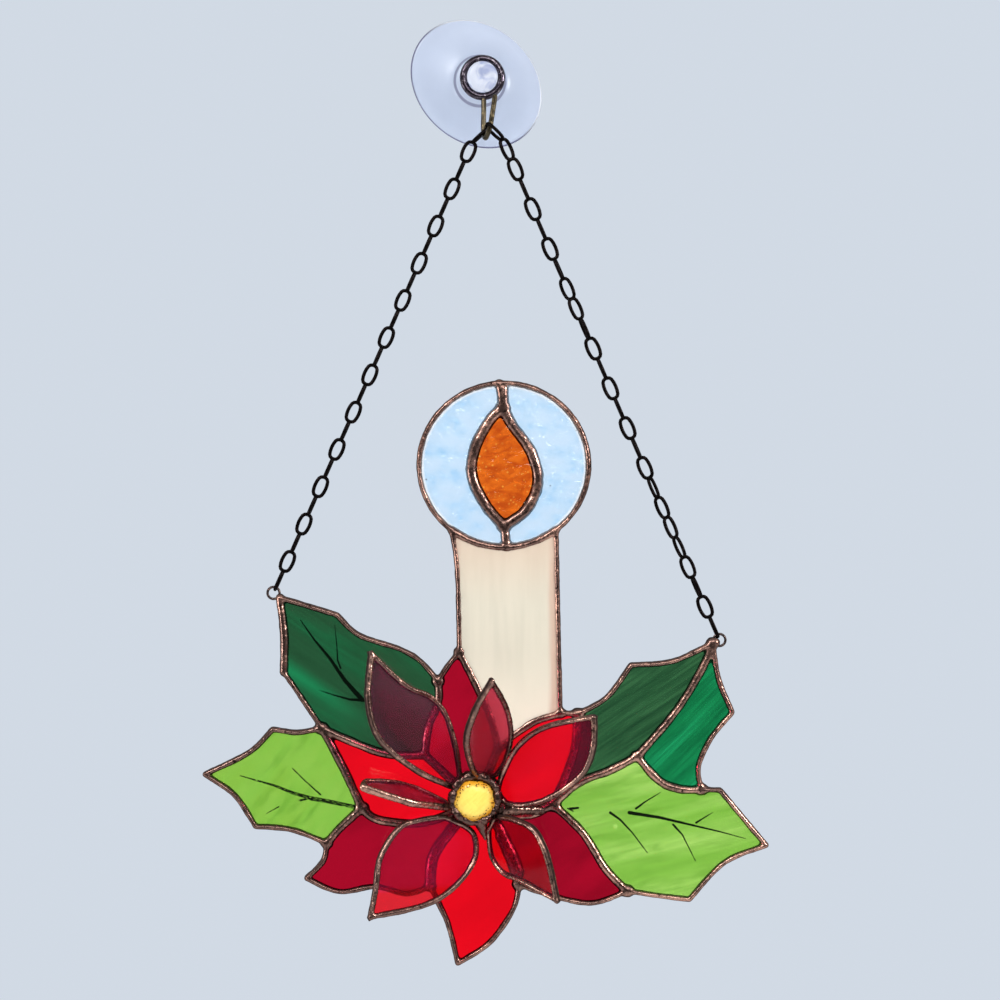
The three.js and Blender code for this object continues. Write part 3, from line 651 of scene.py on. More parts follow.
def settle(obj, matrix, material):
    """Turns an object's evaluated shape into a plain mesh in its place in the frame."""
    name, source = obj.name, obj.data
    evaluated = obj.evaluated_get(bpy.context.evaluated_depsgraph_get())
    mesh = bpy.data.meshes.new_from_object(evaluated)
    mesh.name = name
    mesh.transform(matrix)
    for attribute in [a.name for a in mesh.attributes if a.name == "half_width"]:
        mesh.attributes.remove(mesh.attributes[attribute])
    mesh.materials.clear()
    mesh.materials.append(material)
    obj.modifiers.clear()
    obj.data = mesh
    bpy.data.meshes.remove(source)
    return obj


def belongs(obj, slot, *nodes):
    """Rides on the one body and stands for its CAD nodes. Its slot is not used."""
    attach(obj, "root")
    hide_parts(*nodes)


# ---- Geometry trees -----------------------------------------------------------------------


def new_tree(name, sockets):
    """An empty geometry tree, with its named inputs and their defaults."""
    tree = bpy.data.node_groups.new(name, "GeometryNodeTree")
    tree.interface.new_socket("Geometry", in_out="INPUT", socket_type="NodeSocketGeometry")
    tree.interface.new_socket("Geometry", in_out="OUTPUT", socket_type="NodeSocketGeometry")
    for label, (kind, default) in sockets.items():
        socket = tree.interface.new_socket(label, in_out="INPUT", socket_type="NodeSocket" + kind)
        if default is not None:
            socket.default_value = default
    return tree, add_node(tree, "NodeGroupInput").outputs


def end_tree(tree, geometry, material):
    """Realizes what a tree made, shades it smooth and gives it its material."""
    real = add_node(tree, "GeometryNodeRealizeInstances", {"Geometry": geometry}).outputs[0]
    even = add_node(tree, "GeometryNodeSetShadeSmooth", {"Geometry": real}).outputs[0]
    dressed = add_node(tree, "GeometryNodeSetMaterial", {"Geometry": even, "Material": material})
    add_node(tree, "NodeGroupOutput", {"Geometry": dressed.outputs[0]})
    return tree


def noise_at(tree, length, seed, detail=2.0):
    """Noise from 0 to 1 whose patches are about a length apart."""
    place = position(tree)
    scale = calculate(tree, "DIVIDE", 1.0, length)
    sockets = {"Vector": place, "W": seed, "Scale": scale, "Detail": detail}
    return add_node(tree, "ShaderNodeTexNoise", sockets, noise_dimensions="4D").outputs["Fac"]


def swept_wires(tree, lines, width, sides):
    """Round wires along bare lines, with a ball at each end."""
    curve = add_node(tree, "GeometryNodeMeshToCurve", {"Mesh": lines}).outputs[0]
    circle = add_node(tree, "GeometryNodeCurvePrimitiveCircle", {"Resolution": sides, "Radius": 1.0})
    sockets = {"Curve": curve, "Profile Curve": circle.outputs[0], "Scale": width, "Fill Caps": True}
    tube = add_node(tree, "GeometryNodeCurveToMesh", sockets).outputs[0]
    ball = add_node(tree, "GeometryNodeMeshIcoSphere", {"Radius": 1.0, "Subdivisions": 3}).outputs[0]
    ends = add_node(tree, "GeometryNodeCurveEndpointSelection").outputs[0]
    balls = add_node(
        tree,
        "GeometryNodeInstanceOnPoints",
        {"Points": curve, "Selection": ends, "Instance": ball, "Scale": width},
    ).outputs[0]
    joined = add_node(tree, "GeometryNodeJoinGeometry")
    for part in (tube, balls):
        tree.links.new(part, joined.inputs[0])
    return joined.outputs[0]


def bead_tree():
    """Beads of solder along flat lines, wandering in width, as deep as they are told."""
    tree, given = new_tree(
        "solder_bead",
        {
            "Half Depth": ("Float", 2.4),
            "Wander": ("Float", 0.2),
            "Wander Length": ("Float", 6.0),
            "Seed": ("Float", 1.0),
            "Material": ("Material", None),
        },
    )
    half = add_node(tree, "GeometryNodeInputNamedAttribute", {"Name": "half_width"}).outputs[0]
    noise = noise_at(tree, given["Wander Length"], given["Seed"])
    swing = times(tree, minus(tree, noise, 0.5), given["Wander"])
    width = times(tree, half, plus(tree, 1.0, swing))
    wires = swept_wires(tree, given["Geometry"], width, 14)
    real = add_node(tree, "GeometryNodeRealizeInstances", {"Geometry": wires}).outputs[0]
    deeper = calculate(tree, "DIVIDE", given["Half Depth"], half)
    parts = parts_of(tree, position(tree))
    depth = times(tree, parts[2], deeper)
    place = add_node(tree, "ShaderNodeCombineXYZ", {0: parts[0], 1: parts[1], 2: depth}).outputs[0]
    moved = add_node(tree, "GeometryNodeSetPosition", {"Geometry": real, "Position": place}).outputs[0]
    return end_tree(tree, moved, given["Material"])


def lump_tree():
    """Lumps and pits that push a skin out and in along its normals."""
    tree, given = new_tree(
        "solder_lumps",
        {
            "Lump Height": ("Float", 0.25),
            "Lump Length": ("Float", 3.0),
            "Half Depth": ("Float", 2.0),
            "Seed": ("Float", 1.0),
            "Material": ("Material", None),
        },
    )
    broad = noise_at(tree, given["Lump Length"], given["Seed"], 1.0)
    short = times(tree, given["Lump Length"], 0.3)
    fine = noise_at(tree, short, plus(tree, given["Seed"], 7.0), 1.0)
    both = plus(tree, broad, times(tree, fine, 0.45))
    push = times(tree, minus(tree, both, 0.72), given["Lump Height"])
    push = times(tree, push, 2.0)
    normal = add_node(tree, "GeometryNodeInputNormal").outputs[0]
    offset = scaled(tree, normal, push)
    depth = parts_of(tree, position(tree))[2]
    crown = calculate(tree, "DIVIDE", calculate(tree, "ABSOLUTE", depth), given["Half Depth"])
    sockets = {"Geometry": given["Geometry"], "Name": "crown", "Value": crown}
    marked = add_node(tree, "GeometryNodeStoreNamedAttribute", sockets, domain="POINT").outputs[0]
    moved = add_node(tree, "GeometryNodeSetPosition", {"Geometry": marked, "Offset": offset})
    return end_tree(tree, moved.outputs[0], given["Material"])


def wire_tree():
    """Round wires along lines in space."""
    sockets = {"Radius": ("Float", 1.0), "Sides": ("Int", 12), "Material": ("Material", None)}
    tree, given = new_tree("round_wire", sockets)
    wires = swept_wires(tree, given["Geometry"], given["Radius"], given["Sides"])
    return end_tree(tree, wires, given["Material"])


def dab_tree():
    """Round dabs of solder on loose points, each of its own size, joined to what is there."""
    tree, given = new_tree("solder_dabs", {"Material": ("Material", None)})
    size = add_node(tree, "GeometryNodeInputNamedAttribute", {"Name": "half_width"}).outputs[0]
    ball = add_node(tree, "GeometryNodeMeshIcoSphere", {"Radius": 1.0, "Subdivisions": 3}).outputs[0]
    sockets = {"Points": given["Geometry"], "Instance": ball, "Scale": size}
    balls = add_node(tree, "GeometryNodeInstanceOnPoints", sockets).outputs[0]
    joined = add_node(tree, "GeometryNodeJoinGeometry")
    for part in (given["Geometry"], balls):
        tree.links.new(part, joined.inputs[0])
    return end_tree(tree, joined.outputs[0], given["Material"])


def chain_tree():
    """A long link of round wire on every point, turned as the point says."""
    tree, given = new_tree(
        "chain_links",
        {
            "Link Width": ("Float", 3.9),
            "Link Length": ("Float", 8.0),
            "Wire Radius": ("Float", 0.6),
            "Material": ("Material", None),
        },
    )
    radius = times(tree, given["Link Width"], 0.5)
    loop = add_node(tree, "GeometryNodeCurvePrimitiveCircle", {"Resolution": 20, "Radius": radius})
    place = position(tree)
    height = parts_of(tree, place)[1]
    pull = minus(tree, given["Link Length"], given["Link Width"])
    pull = times(tree, pull, 0.5)
    ease = times(tree, height, calculate(tree, "DIVIDE", 3.0, given["Link Width"]))
    share = calculate(tree, "MAXIMUM", calculate(tree, "MINIMUM", ease, 1.0), -1.0)
    offset = add_node(tree, "ShaderNodeCombineXYZ", {1: times(tree, share, pull)})
    long_loop = add_node(
        tree, "GeometryNodeSetPosition", {"Geometry": loop.outputs[0], "Offset": offset.outputs[0]}
    ).outputs[0]
    circle = add_node(
        tree, "GeometryNodeCurvePrimitiveCircle", {"Resolution": 8, "Radius": given["Wire Radius"]}
    ).outputs[0]
    link = add_node(tree, "GeometryNodeCurveToMesh", {"Curve": long_loop, "Profile Curve": circle})
    turn = add_node(
        tree, "GeometryNodeInputNamedAttribute", {"Name": "turn"}, data_type="FLOAT_VECTOR"
    ).outputs[0]
    rotation = add_node(tree, "FunctionNodeEulerToRotation", {0: turn}).outputs[0]
    sockets = {"Points": given["Geometry"], "Instance": link.outputs[0], "Rotation": rotation}
    links = add_node(tree, "GeometryNodeInstanceOnPoints", sockets).outputs[0]
    return end_tree(tree, links, given["Material"])


# ---- Materials ----------------------------------------------------------------------------


def new_material(name, **sockets):
    """A material with plain values on its shader, and its place in millimetres for patterns."""
    material = bpy.data.materials.new(name)
    material.use_nodes = True
    tree = material.node_tree
    surface = tree.nodes["Principled BSDF"]
    for label, value in sockets.items():
        surface.inputs[label.replace("_", " ").title().replace("Ior", "IOR")].default_value = value
    place = add_node(tree, "ShaderNodeTexCoord").outputs["Object"]
    return material, tree, surface, scaled(tree, place, 1 / MM)


def pattern(tree, place, scale, detail=3.0, turn=0.0, stretch=(1, 1, 1), **more):
    """Noise on a place, turned about the depth axis and stretched."""
    mapped = add_node(
        tree, "ShaderNodeMapping", {"Vector": place, "Rotation": (0, math.radians(turn), 0)}
    ).outputs[0]
    drawn = add_node(tree, "ShaderNodeMapping", {"Vector": mapped, "Scale": stretch}).outputs[0]
    sockets = {"Vector": drawn, "Scale": scale, "Detail": detail, **more}
    return add_node(tree, "ShaderNodeTexNoise", sockets).outputs["Fac"]


def between(tree, value, low, high):
    """0 below low, 1 above high, and smooth between."""
    sockets = {"Value": value, "From Min": low, "From Max": high}
    return add_node(tree, "ShaderNodeMapRange", sockets, interpolation_type="SMOOTHSTEP").outputs[0]


def toned(tone, factor):
    """A colour times one factor, or times one each for its red, green and blue."""
    factors = factor if isinstance(factor, tuple) else (factor,) * 3
    return tuple(c * f for c, f in zip(tone, factors))


def stretched(tree, value, low, high):
    """0 to 1 spread evenly from low to high."""
    return add_node(tree, "ShaderNodeMapRange", {"Value": value, "To Min": low, "To Max": high}).outputs[0]


def cells(tree, place, scale):
    """Distance to the nearest of many scattered spots."""
    return add_node(tree, "ShaderNodeTexVoronoi", {"Vector": place, "Scale": scale}).outputs["Distance"]


def mixed(tree, share, first, second):
    """One colour laid over another by a share."""

    def as_colour(value):
        return value if isinstance(value, bpy.types.NodeSocket) else (*value[:3], 1.0)

    sockets = {0: share, 6: as_colour(first), 7: as_colour(second)}
    return add_node(tree, "ShaderNodeMix", sockets, data_type="RGBA").outputs[2]


def bumped(tree, surface, height, distance, strength=1.0):
    sockets = {"Height": height, "Distance": distance, "Strength": strength}
    tree.links.new(add_node(tree, "ShaderNodeBump", sockets).outputs[0], surface.inputs["Normal"])


# crown gives the heights, as shares of a bead's half depth, over which the painted shade at its foot gives
# way to metal.
def solder_material(name, settings, crown=(0.42, 0.86), copper_and_highlight_share=0.0, tarnish=1.0):
    """Bronze patina, coppery where it is worn, with painted light: more copper, so lighter solder, towards
    the right. Painted shade: dark and dull along the foot of each bead.
    """
    material, tree, surface, place = new_material(
        name, specular_ior_level=0.25, specular_tint=(0.22, 0.15, 0.14, 1.0)
    )
    patches = pattern(tree, place, 0.13, 3.0)
    grain = pattern(tree, place, 0.85, 3.0)
    rubbed_and_lit = plus(tree, patches, times(tree, grain, 0.5))
    across = parts_of(tree, place)[0]
    # Painted light: more copper, so lighter solder, towards the right.
    rubbed_and_lit = plus(tree, rubbed_and_lit, times(tree, across, PAINTED_LIGHT_LEAN))
    # A raised copper share is a painted highlight, as on the edge-on rim.
    rubbed_and_lit = between(tree, plus(tree, rubbed_and_lit, copper_and_highlight_share), 0.70, 0.98)
    bronze, copper = (toned(tone, tarnish) for tone in (settings.bronze, settings.copper))
    base = mixed(tree, rubbed_and_lit, bronze, copper)
    pits = between(tree, pattern(tree, place, 0.6, 3.0), 0.60, 0.74)
    base = mixed(tree, pits, base, settings.soot_and_foot_shade)
    height = add_node(tree, "ShaderNodeAttribute", attribute_name="crown").outputs["Fac"]
    ragged = times(tree, minus(tree, grain, 0.5), 0.35)
    # Painted shade: towards the foot of each bead, where it meets the glass, the solder turns dark, dull and
    # not metal.
    bare = between(tree, plus(tree, height, ragged), *crown)
    tree.links.new(mixed(tree, bare, settings.soot_and_foot_shade, base), surface.inputs["Base Color"])
    metal = stretched(tree, bare, 0.25, 0.95)
    tree.links.new(metal, surface.inputs["Metallic"])
    dull = times(tree, minus(tree, 1.0, bare), 0.35)
    sheen = stretched(tree, grain, 0.20, 0.34)
    tree.links.new(plus(tree, sheen, dull), surface.inputs["Roughness"])
    bumped(tree, surface, pattern(tree, place, 0.75, 2.0), 0.00025, 0.5)
    return material


def glass_material(name, roughness=0.06, transmission=1.0, **more):
    usual = {"ior": 1.48, "specular_ior_level": 0.2}
    return new_material(
        name, roughness=roughness, transmission_weight=transmission, **{**usual, **more}
    )


def painted_veins(tree, place, strokes, dryness):
    """1 on the brush strokes of a leaf's veins, on its front face, and 0 elsewhere."""
    parts = parts_of(tree, place)
    flat = add_node(tree, "ShaderNodeCombineXYZ", {0: parts[0], 1: parts[2]}).outputs[0]
    ragged = times(tree, minus(tree, pattern(tree, place, 1.3), 0.5), 0.5)
    mask = None
    for first, last, points in strokes:
        first, last = BRUSH * first, BRUSH * last
        for index in range(len(points) - 1):
            start, end = Vector(points[index]), Vector(points[index + 1])
            stroke = stroke_mask(
                tree,
                flat,
                start,
                end - start,
                first + (last - first) * index / (len(points) - 1),
                (last - first) / (len(points) - 1),
                ragged,
            )
            mask = stroke if mask is None else calculate(tree, "MAXIMUM", mask, stroke)
    if dryness:
        bristles = pattern(tree, place, 2.2, 2.0, turn=-18, stretch=(0.35, 1, 2.4))
        mask = times(tree, mask, between(tree, bristles, dryness - 0.05, dryness + 0.05))
    front = calculate(tree, "LESS_THAN", parts[1], -PANEL_DEPTH)
    return times(tree, mask, front)


def stroke_mask(tree, flat, start, along, width, widening, ragged):
    """1 within a straight stroke's half width, which changes from one end to the other."""
    from_start = vector(tree, "SUBTRACT", flat, (*start, 0))
    dot = vector(tree, "DOT_PRODUCT", from_start, (*along, 0))
    share = add_node(
        tree, "ShaderNodeMapRange", {"Value": dot, "From Max": along.length_squared}
    ).outputs[0]
    nearest = scaled(tree, (*along, 0), share)
    away = vector(tree, "DISTANCE", from_start, nearest)
    half = calculate(tree, "MULTIPLY_ADD", share, widening, width)
    edge = minus(tree, plus(tree, away, times(tree, ragged, 0.4)), half)
    return between(tree, times(tree, edge, -1.0), -0.10, 0.10)


def clear_glass(settings):
    """Clear hammered glass: soft bluish clouds, a few dark seeds, paler against the solder."""
    material, tree, surface, place = glass_material(
        "clear_hammered_glass", 0.14, 0.88, specular_ior_level=0.06
    )
    clouds = between(tree, pattern(tree, place, 0.14, 4.0, stretch=(0.8, 1, 1.3)), 0.38, 0.66)
    hollows = between(tree, pattern(tree, place, 0.42, 2.0), 0.44, 0.66)
    share = times(tree, clouds, calculate(tree, "MULTIPLY_ADD", hollows, 0.6, 0.4))
    base = mixed(tree, share, settings.clear, toned(settings.clear, (0.66, 0.86, 0.98)))
    middle = (HALO["x"], 0, HALO["y"])
    away = vector(tree, "SUBTRACT", place, middle)
    size = (1 / HALO["rx"], 0, 1 / HALO["ry"])
    away = vector(tree, "MULTIPLY", away, size)
    radius = vector(tree, "LENGTH", away)
    base = mixed(tree, between(tree, radius, 0.93, 0.97), base, (0.97, 0.98, 1.0))
    seeds = cells(tree, place, 0.13)
    dark = minus(tree, 1.0, between(tree, seeds, 0.026, 0.046))
    base = mixed(tree, dark, base, (0.03, 0.03, 0.05))
    tree.links.new(base, surface.inputs["Base Color"])
    bumped(tree, surface, pattern(tree, place, 0.30, 2.0), 0.0011, 0.6)
    return material


def amber_glass(settings):
    """Orange glass with ripples and bright seeds."""
    material, tree, surface, place = glass_material("amber_rippled_glass", 0.08, specular_ior_level=0.05)
    ripples = pattern(tree, place, 0.24, 3.0, turn=12, stretch=(0.8, 1, 1.5), Distortion=0.8)
    deep = toned(settings.amber, (0.66, 0.46, 0.60))
    base = mixed(tree, between(tree, ripples, 0.36, 0.62), deep, settings.amber)
    seeds = cells(tree, place, 0.50)
    bright = minus(tree, 1.0, between(tree, seeds, 0.10, 0.24))
    bright = times(tree, bright, between(tree, pattern(tree, place, 0.35, 2.0), 0.44, 0.56))
    lower = between(tree, parts_of(tree, place)[2], *SEED_HEIGHTS)
    base = mixed(tree, times(tree, bright, lower), base, (1.0, 0.66, 0.18))
    tree.links.new(base, surface.inputs["Base Color"])
    bumped(tree, surface, ripples, 0.0009, 0.4)
    return material


def ivory_glass(settings):
    """Ivory opal glass, peach along its right side and at its top."""
    material, tree, surface, place = glass_material("ivory_opal_glass", 0.16, 0.30)
    low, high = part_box("candle_glass")
    parts = parts_of(tree, place)
    wisps = pattern(tree, place, 0.12, 3.0, stretch=(2.5, 1, 0.22))
    stray = times(tree, minus(tree, wisps, 0.5), 4.0)
    across = plus(tree, parts[0], stray)
    base = mixed(tree, between(tree, wisps, 0.35, 0.70), settings.ivory, toned(settings.ivory, 0.93))
    peach = (0.62, 0.425, 0.325)
    right = between(tree, across, high.x / MM - 4.4, high.x / MM - 1.2)
    left = between(tree, across, low.x / MM + 2.6, low.x / MM + 0.6)
    up = between(tree, plus(tree, parts[2], stray), high.z / MM - 26, high.z / MM)
    down = between(tree, parts[2], low.z / MM + 34, low.z / MM + 6)
    base = mixed(tree, down, base, tuple(min(1.0, 1.22 * c) for c in settings.ivory[:3]))
    base = mixed(tree, times(tree, up, 0.60), base, (0.64, 0.470, 0.355))
    base = mixed(tree, times(tree, left, 0.55), base, peach)
    tree.links.new(mixed(tree, times(tree, right, 0.85), base, peach), surface.inputs["Base Color"])
    return material


def streaky_glass(
    name, colours, turn, spread, veins=None, paint=None, dryness=0.0, fine=0.0, shift=0.0,
    band=None, clouds=None, seed_at=None,
):
    """Leaf glass with long streaks of a second colour, and painted veins on some."""
    material, tree, surface, place = glass_material(name, 0.10, 0.95)
    first, second, dark = colours
    drift = vector(tree, "ADD", place, (shift, 0, shift))
    streaks = pattern(tree, drift, 0.085, 4.0, turn=turn, stretch=(0.22, 1, 1.5), Distortion=0.25)
    base = mixed(tree, between(tree, streaks, *spread), first, second)
    shade = pattern(tree, drift, 0.19, 3.0, turn=turn, stretch=(0.35, 1, 1.3))
    base = mixed(tree, times(tree, between(tree, shade, 0.50, 0.72), 0.7), base, dark)
    if fine:
        lines = pattern(tree, place, 0.55, 2.0, turn=turn, stretch=(0.06, 1, 1.7))
        base = mixed(tree, times(tree, between(tree, lines, 0.44, 0.60), fine), base, dark)
    if band:
        (x, y), half, tone = band
        angle = math.radians(turn)
        across = vector(tree, "DOT_PRODUCT", place, (-math.sin(angle), 0, math.cos(angle)))
        away = minus(tree, across, y * math.cos(angle) - x * math.sin(angle))
        away = plus(tree, calculate(tree, "ABSOLUTE", away), times(tree, streaks, 5.0))
        fade = between(tree, parts_of(tree, place)[0], x + 34, x)
        shine = times(tree, between(tree, away, half + 2.5, 2.5), fade)
        base = mixed(tree, shine, base, tone)
    if clouds:
        pale = between(tree, pattern(tree, place, 0.15, 2.0, turn=turn, stretch=(0.6, 1, 1.2)), 0.46, 0.66)
        base = mixed(tree, times(tree, pale, 0.70), base, clouds)
        dots = cells(tree, place, 0.20)
        base = mixed(tree, minus(tree, 0.8, between(tree, dots, 0.03, 0.07)), base, dark)
    if seed_at:
        flat = vector(tree, "MULTIPLY", place, (1, 0, 1))
        middle = (seed_at[0], 0, seed_at[1])
        away = vector(tree, "DISTANCE", flat, middle)
        base = mixed(tree, times(tree, between(tree, away, 1.1, 0.5), 0.8), base, second)
    if veins:
        mask = painted_veins(tree, place, veins, dryness)
        base = mixed(tree, mask, base, paint)
    tree.links.new(base, surface.inputs["Base Color"])
    bumped(tree, surface, pattern(tree, place, 0.12, 2.0, turn=turn, stretch=(0.4, 1, 1.4)), 0.0006, 0.4)
    return material


def red_glass(name, base, shade, tip=None, **more):
    """Smooth red glass with faint darker drifts, which may turn to another red low down, at its tip."""
    material, tree, surface, place = glass_material(name, **more)
    drifts = between(tree, pattern(tree, place, 0.05, 3.0, turn=35, stretch=(0.5, 1, 1.3)), 0.35, 0.7)
    tone = mixed(tree, drifts, base, toned(base, shade))
    if tip:
        height = parts_of(tree, place)[2]
        tone = mixed(tree, between(tree, height, *TIP_HEIGHTS), tone, tip)
    tree.links.new(tone, surface.inputs["Base Color"])
    bumped(tree, surface, pattern(tree, place, 0.10, 2.0), 0.0004, 0.3)
    return material


def wire_material(name, base, worn, roughness, metallic=0.9, **more):
    """Wire with its finish worn in places."""
    material, tree, surface, place = new_material(name, metallic=metallic, **more)
    rub = between(tree, pattern(tree, place, 0.9, 4.0), 0.50, 0.75)
    tree.links.new(mixed(tree, rub, base, worn), surface.inputs["Base Color"])
    rough = stretched(tree, rub, roughness, roughness + 0.15)
    tree.links.new(rough, surface.inputs["Roughness"])
    bumped(tree, surface, pattern(tree, place, 3.0, 2.0), 0.0001, 0.4)
    return material


# ---- Panes and beads ----------------------------------------------------------------------


def pane(name, outline, thickness, chamfer=0.15):
    """A pane of cut glass with its edges just broken."""
    half = thickness / 2
    rings = [
        (drawn_in(outline, chamfer), half),
        (outline, half - chamfer),
        (outline, chamfer - half),
        (drawn_in(outline, chamfer), -half),
    ]
    count = len(outline)
    points = [(x, y, z) for ring, z in rings for x, y in ring]
    faces = []
    for ring in range(3):
        for i in range(count):
            j = (i + 1) % count
            faces.append((ring * count + i, ring * count + j, (ring + 1) * count + j, (ring + 1) * count + i))
    flat = [Vector((x, y, 0)) for x, y in rings[0][0]]
    for a, b, c in tessellate_polygon([flat]):
        faces.append((a, b, c))
        faces.append((c + 3 * count, b + 3 * count, a + 3 * count))
    mesh = bpy.data.meshes.new(name)
    mesh.from_pydata(points, [], faces)
    tidy = bmesh.new()
    tidy.from_mesh(mesh)
    bmesh.ops.recalc_face_normals(tidy, faces=tidy.faces)
    if tidy.calc_volume(signed=True) < 0:
        bmesh.ops.reverse_faces(tidy, faces=tidy.faces)
    tidy.to_mesh(mesh)
    tidy.free()
    return plain_object(name, mesh)


def closed_skin(name, shape, loops, ends):
    """Joins rings of vertices to one smooth skin, closed with a given vertex at either end."""

    def around(loop):
        return zip(loop, loop[1:] + loop[:1])

    for first, second in zip(loops, loops[1:]):
        for (a, b), (c, d) in zip(around(first), around(second)):
            shape.faces.new((a, b, d, c))
    for loop, tip in zip((loops[0], loops[-1]), ends):
        for a, b in around(loop):
            shape.faces.new((a, b, tip))
    bmesh.ops.recalc_face_normals(shape, faces=shape.faces)
    for face in shape.faces:
        face.smooth = True
    mesh = bpy.data.meshes.new(name)
    shape.to_mesh(mesh)
    shape.free()
    return plain_object(name, mesh)


def flat_panes(group, edges, materials, slots):
    """The panes of a group, let a little into the solder around them."""
    thickness = glass_front - glass_back
    for node, around in group.items():
        outline = outline_of([edges[name][1] for name in around.split()])
        made = pane(node + "_pane", drawn_in(outline, INTO_SOLDER), thickness)
        belongs(settle(made, ON_PANEL, materials[node]), slots[node], node)


def slot_of(node):
    """The record's material slot of a CAD node."""
    return next(row["material_slot"] for row in frame["record"]["subparts"] if row["node"] == node)


def beads(name, lines, widths, half_depth, settings, seed, matrix, material):
    """Lines of solder fused into one lumpy skin."""
    made = plain_object(name, line_mesh(name, lines, widths))
    run_tree(made, bead_tree(), {"Half Depth": half_depth, "Seed": float(seed), "Material": material})
    fuse(made, settings.voxel, 3)
    lumps = {
        "Lump Height": settings.lump_height,
        "Lump Length": settings.lump_length,
        "Half Depth": half_depth,
        "Seed": float(seed),
        "Material": material,
    }
    run_tree(made, lump_tree(), lumps)
    return settle(made, matrix, material)


# ---- Operators ----------------------------------------------------------------------------


class SUNCATCHER_OT_solder(bpy.types.Operator):
    """Beads of solder along every edge of the flat panel"""

    bl_idname = "suncatcher.solder"
    bl_label = "Soldered Seams"

    def execute(self, context):
        settings = context.scene.suncatcher_solder
        edges = drawn_edges()
        lines = [points for _, points in edges.values()]
        widths = [getattr(settings, kind) for kind, _ in edges.values()]
        for corner, width in PUDDLES.items():
            x, y = AT[corner]
            lines.append([(x - 0.4, y), (x + 0.4, y)])
            widths.append(width)
        for points, width in THICKENED:
            lines.append(respace(smooth(points)))
            widths.append(width)
        material = solder_material("bronze_solder", settings)
        half_depth = (bead_front - bead_back) / 2 - settings.lump_height
        made = beads("solder_network", lines, widths, half_depth, settings, 3, ON_PANEL, material)
        belongs(made, "solder", "solder_seams")
        return {"FINISHED"}


class SUNCATCHER_OT_candle(bpy.types.Operator):
    """The halo, the flame and the candle"""

    bl_idname = "suncatcher.candle"
    bl_label = "Halo, Flame and Candle"

    def execute(self, context):
        glass = context.scene.suncatcher_glass
        clear = clear_glass(glass)
        materials = {
            "halo_glass_left": clear,
            "halo_glass_right": clear,
            "flame_glass": amber_glass(glass),
            "candle_glass": ivory_glass(glass),
        }
        flat_panes(HALO_AND_CANDLE, drawn_edges(), materials, {n: slot_of(n) for n in materials})
        return {"FINISHED"}


class SUNCATCHER_OT_leaves(bpy.types.Operator):
    """Five holly leaves of streaky glass, three with painted veins"""

    bl_idname = "suncatcher.leaves"
    bl_label = "Holly Leaves"

    def execute(self, context):
        glass = context.scene.suncatcher_glass
        materials = {
            "holly_glass_upper_left": streaky_glass(
                "upper_left_leaf_glass",
                ((0.022, 0.098, 0.040), (0.014, 0.150, 0.055), (0.015, 0.070, 0.028)),
                -34, (0.48, 0.68), VEINS["upper_left"], glass.paint, fine=0.50, shift=20.0,
                band=((-65.0, -201.5), 4.5, (0.014, 0.250, 0.092)),
            ),
            "holly_glass_upper_right": streaky_glass(
                "upper_right_leaf_glass",
                ((0.042, 0.150, 0.058), (0.028, 0.120, 0.044), (0.014, 0.066, 0.026)),
                34, (0.4, 0.7), fine=0.85,
            ),
            "holly_glass_far_right": streaky_glass(
                "far_right_leaf_glass", (glass.emerald, (0.016, 0.400, 0.145), (0.003, 0.110, 0.036)), 44,
                (0.46, 0.60), fine=0.55, shift=9.0,
            ),
            "holly_glass_lower_left": streaky_glass(
                "lower_left_leaf_glass", (glass.lime, (0.290, 0.560, 0.065), (0.140, 0.380, 0.030)), 50,
                (0.40, 0.75), VEINS["lower_left"], glass.paint, dryness=0.36, clouds=(0.310, 0.600, 0.085),
            ),
            "holly_glass_lower_right": streaky_glass(
                "lower_right_leaf_glass", (glass.lime, (0.450, 0.760, 0.160), (0.170, 0.430, 0.040)), 14,
                (0.40, 0.70), VEINS["lower_right"], glass.paint, fine=0.28, shift=31.0,
                seed_at=(46.0, -254.7),
            ),
        }
        flat_panes(LEAVES, drawn_edges(), materials, {n: slot_of(n) for n in materials})
        return {"FINISHED"}


class SUNCATCHER_OT_back_petals(bpy.types.Operator):
    """Six flat petals of red glass"""

    bl_idname = "suncatcher.back_petals"
    bl_label = "Back Petals"

    def execute(self, context):
        glass = context.scene.suncatcher_glass
        reds = {
            "scarlet_glass": red_glass("scarlet_back_glass", glass.scarlet, 0.86),
            "crimson_glass": red_glass("crimson_back_glass", glass.crimson, 0.62),
        }
        slots = {node: slot_of(node) for node in BACK_PETALS}
        materials = {node: reds[slot] for node, slot in slots.items()}
        flat_panes(BACK_PETALS, drawn_edges(), materials, slots)
        return {"FINISHED"}


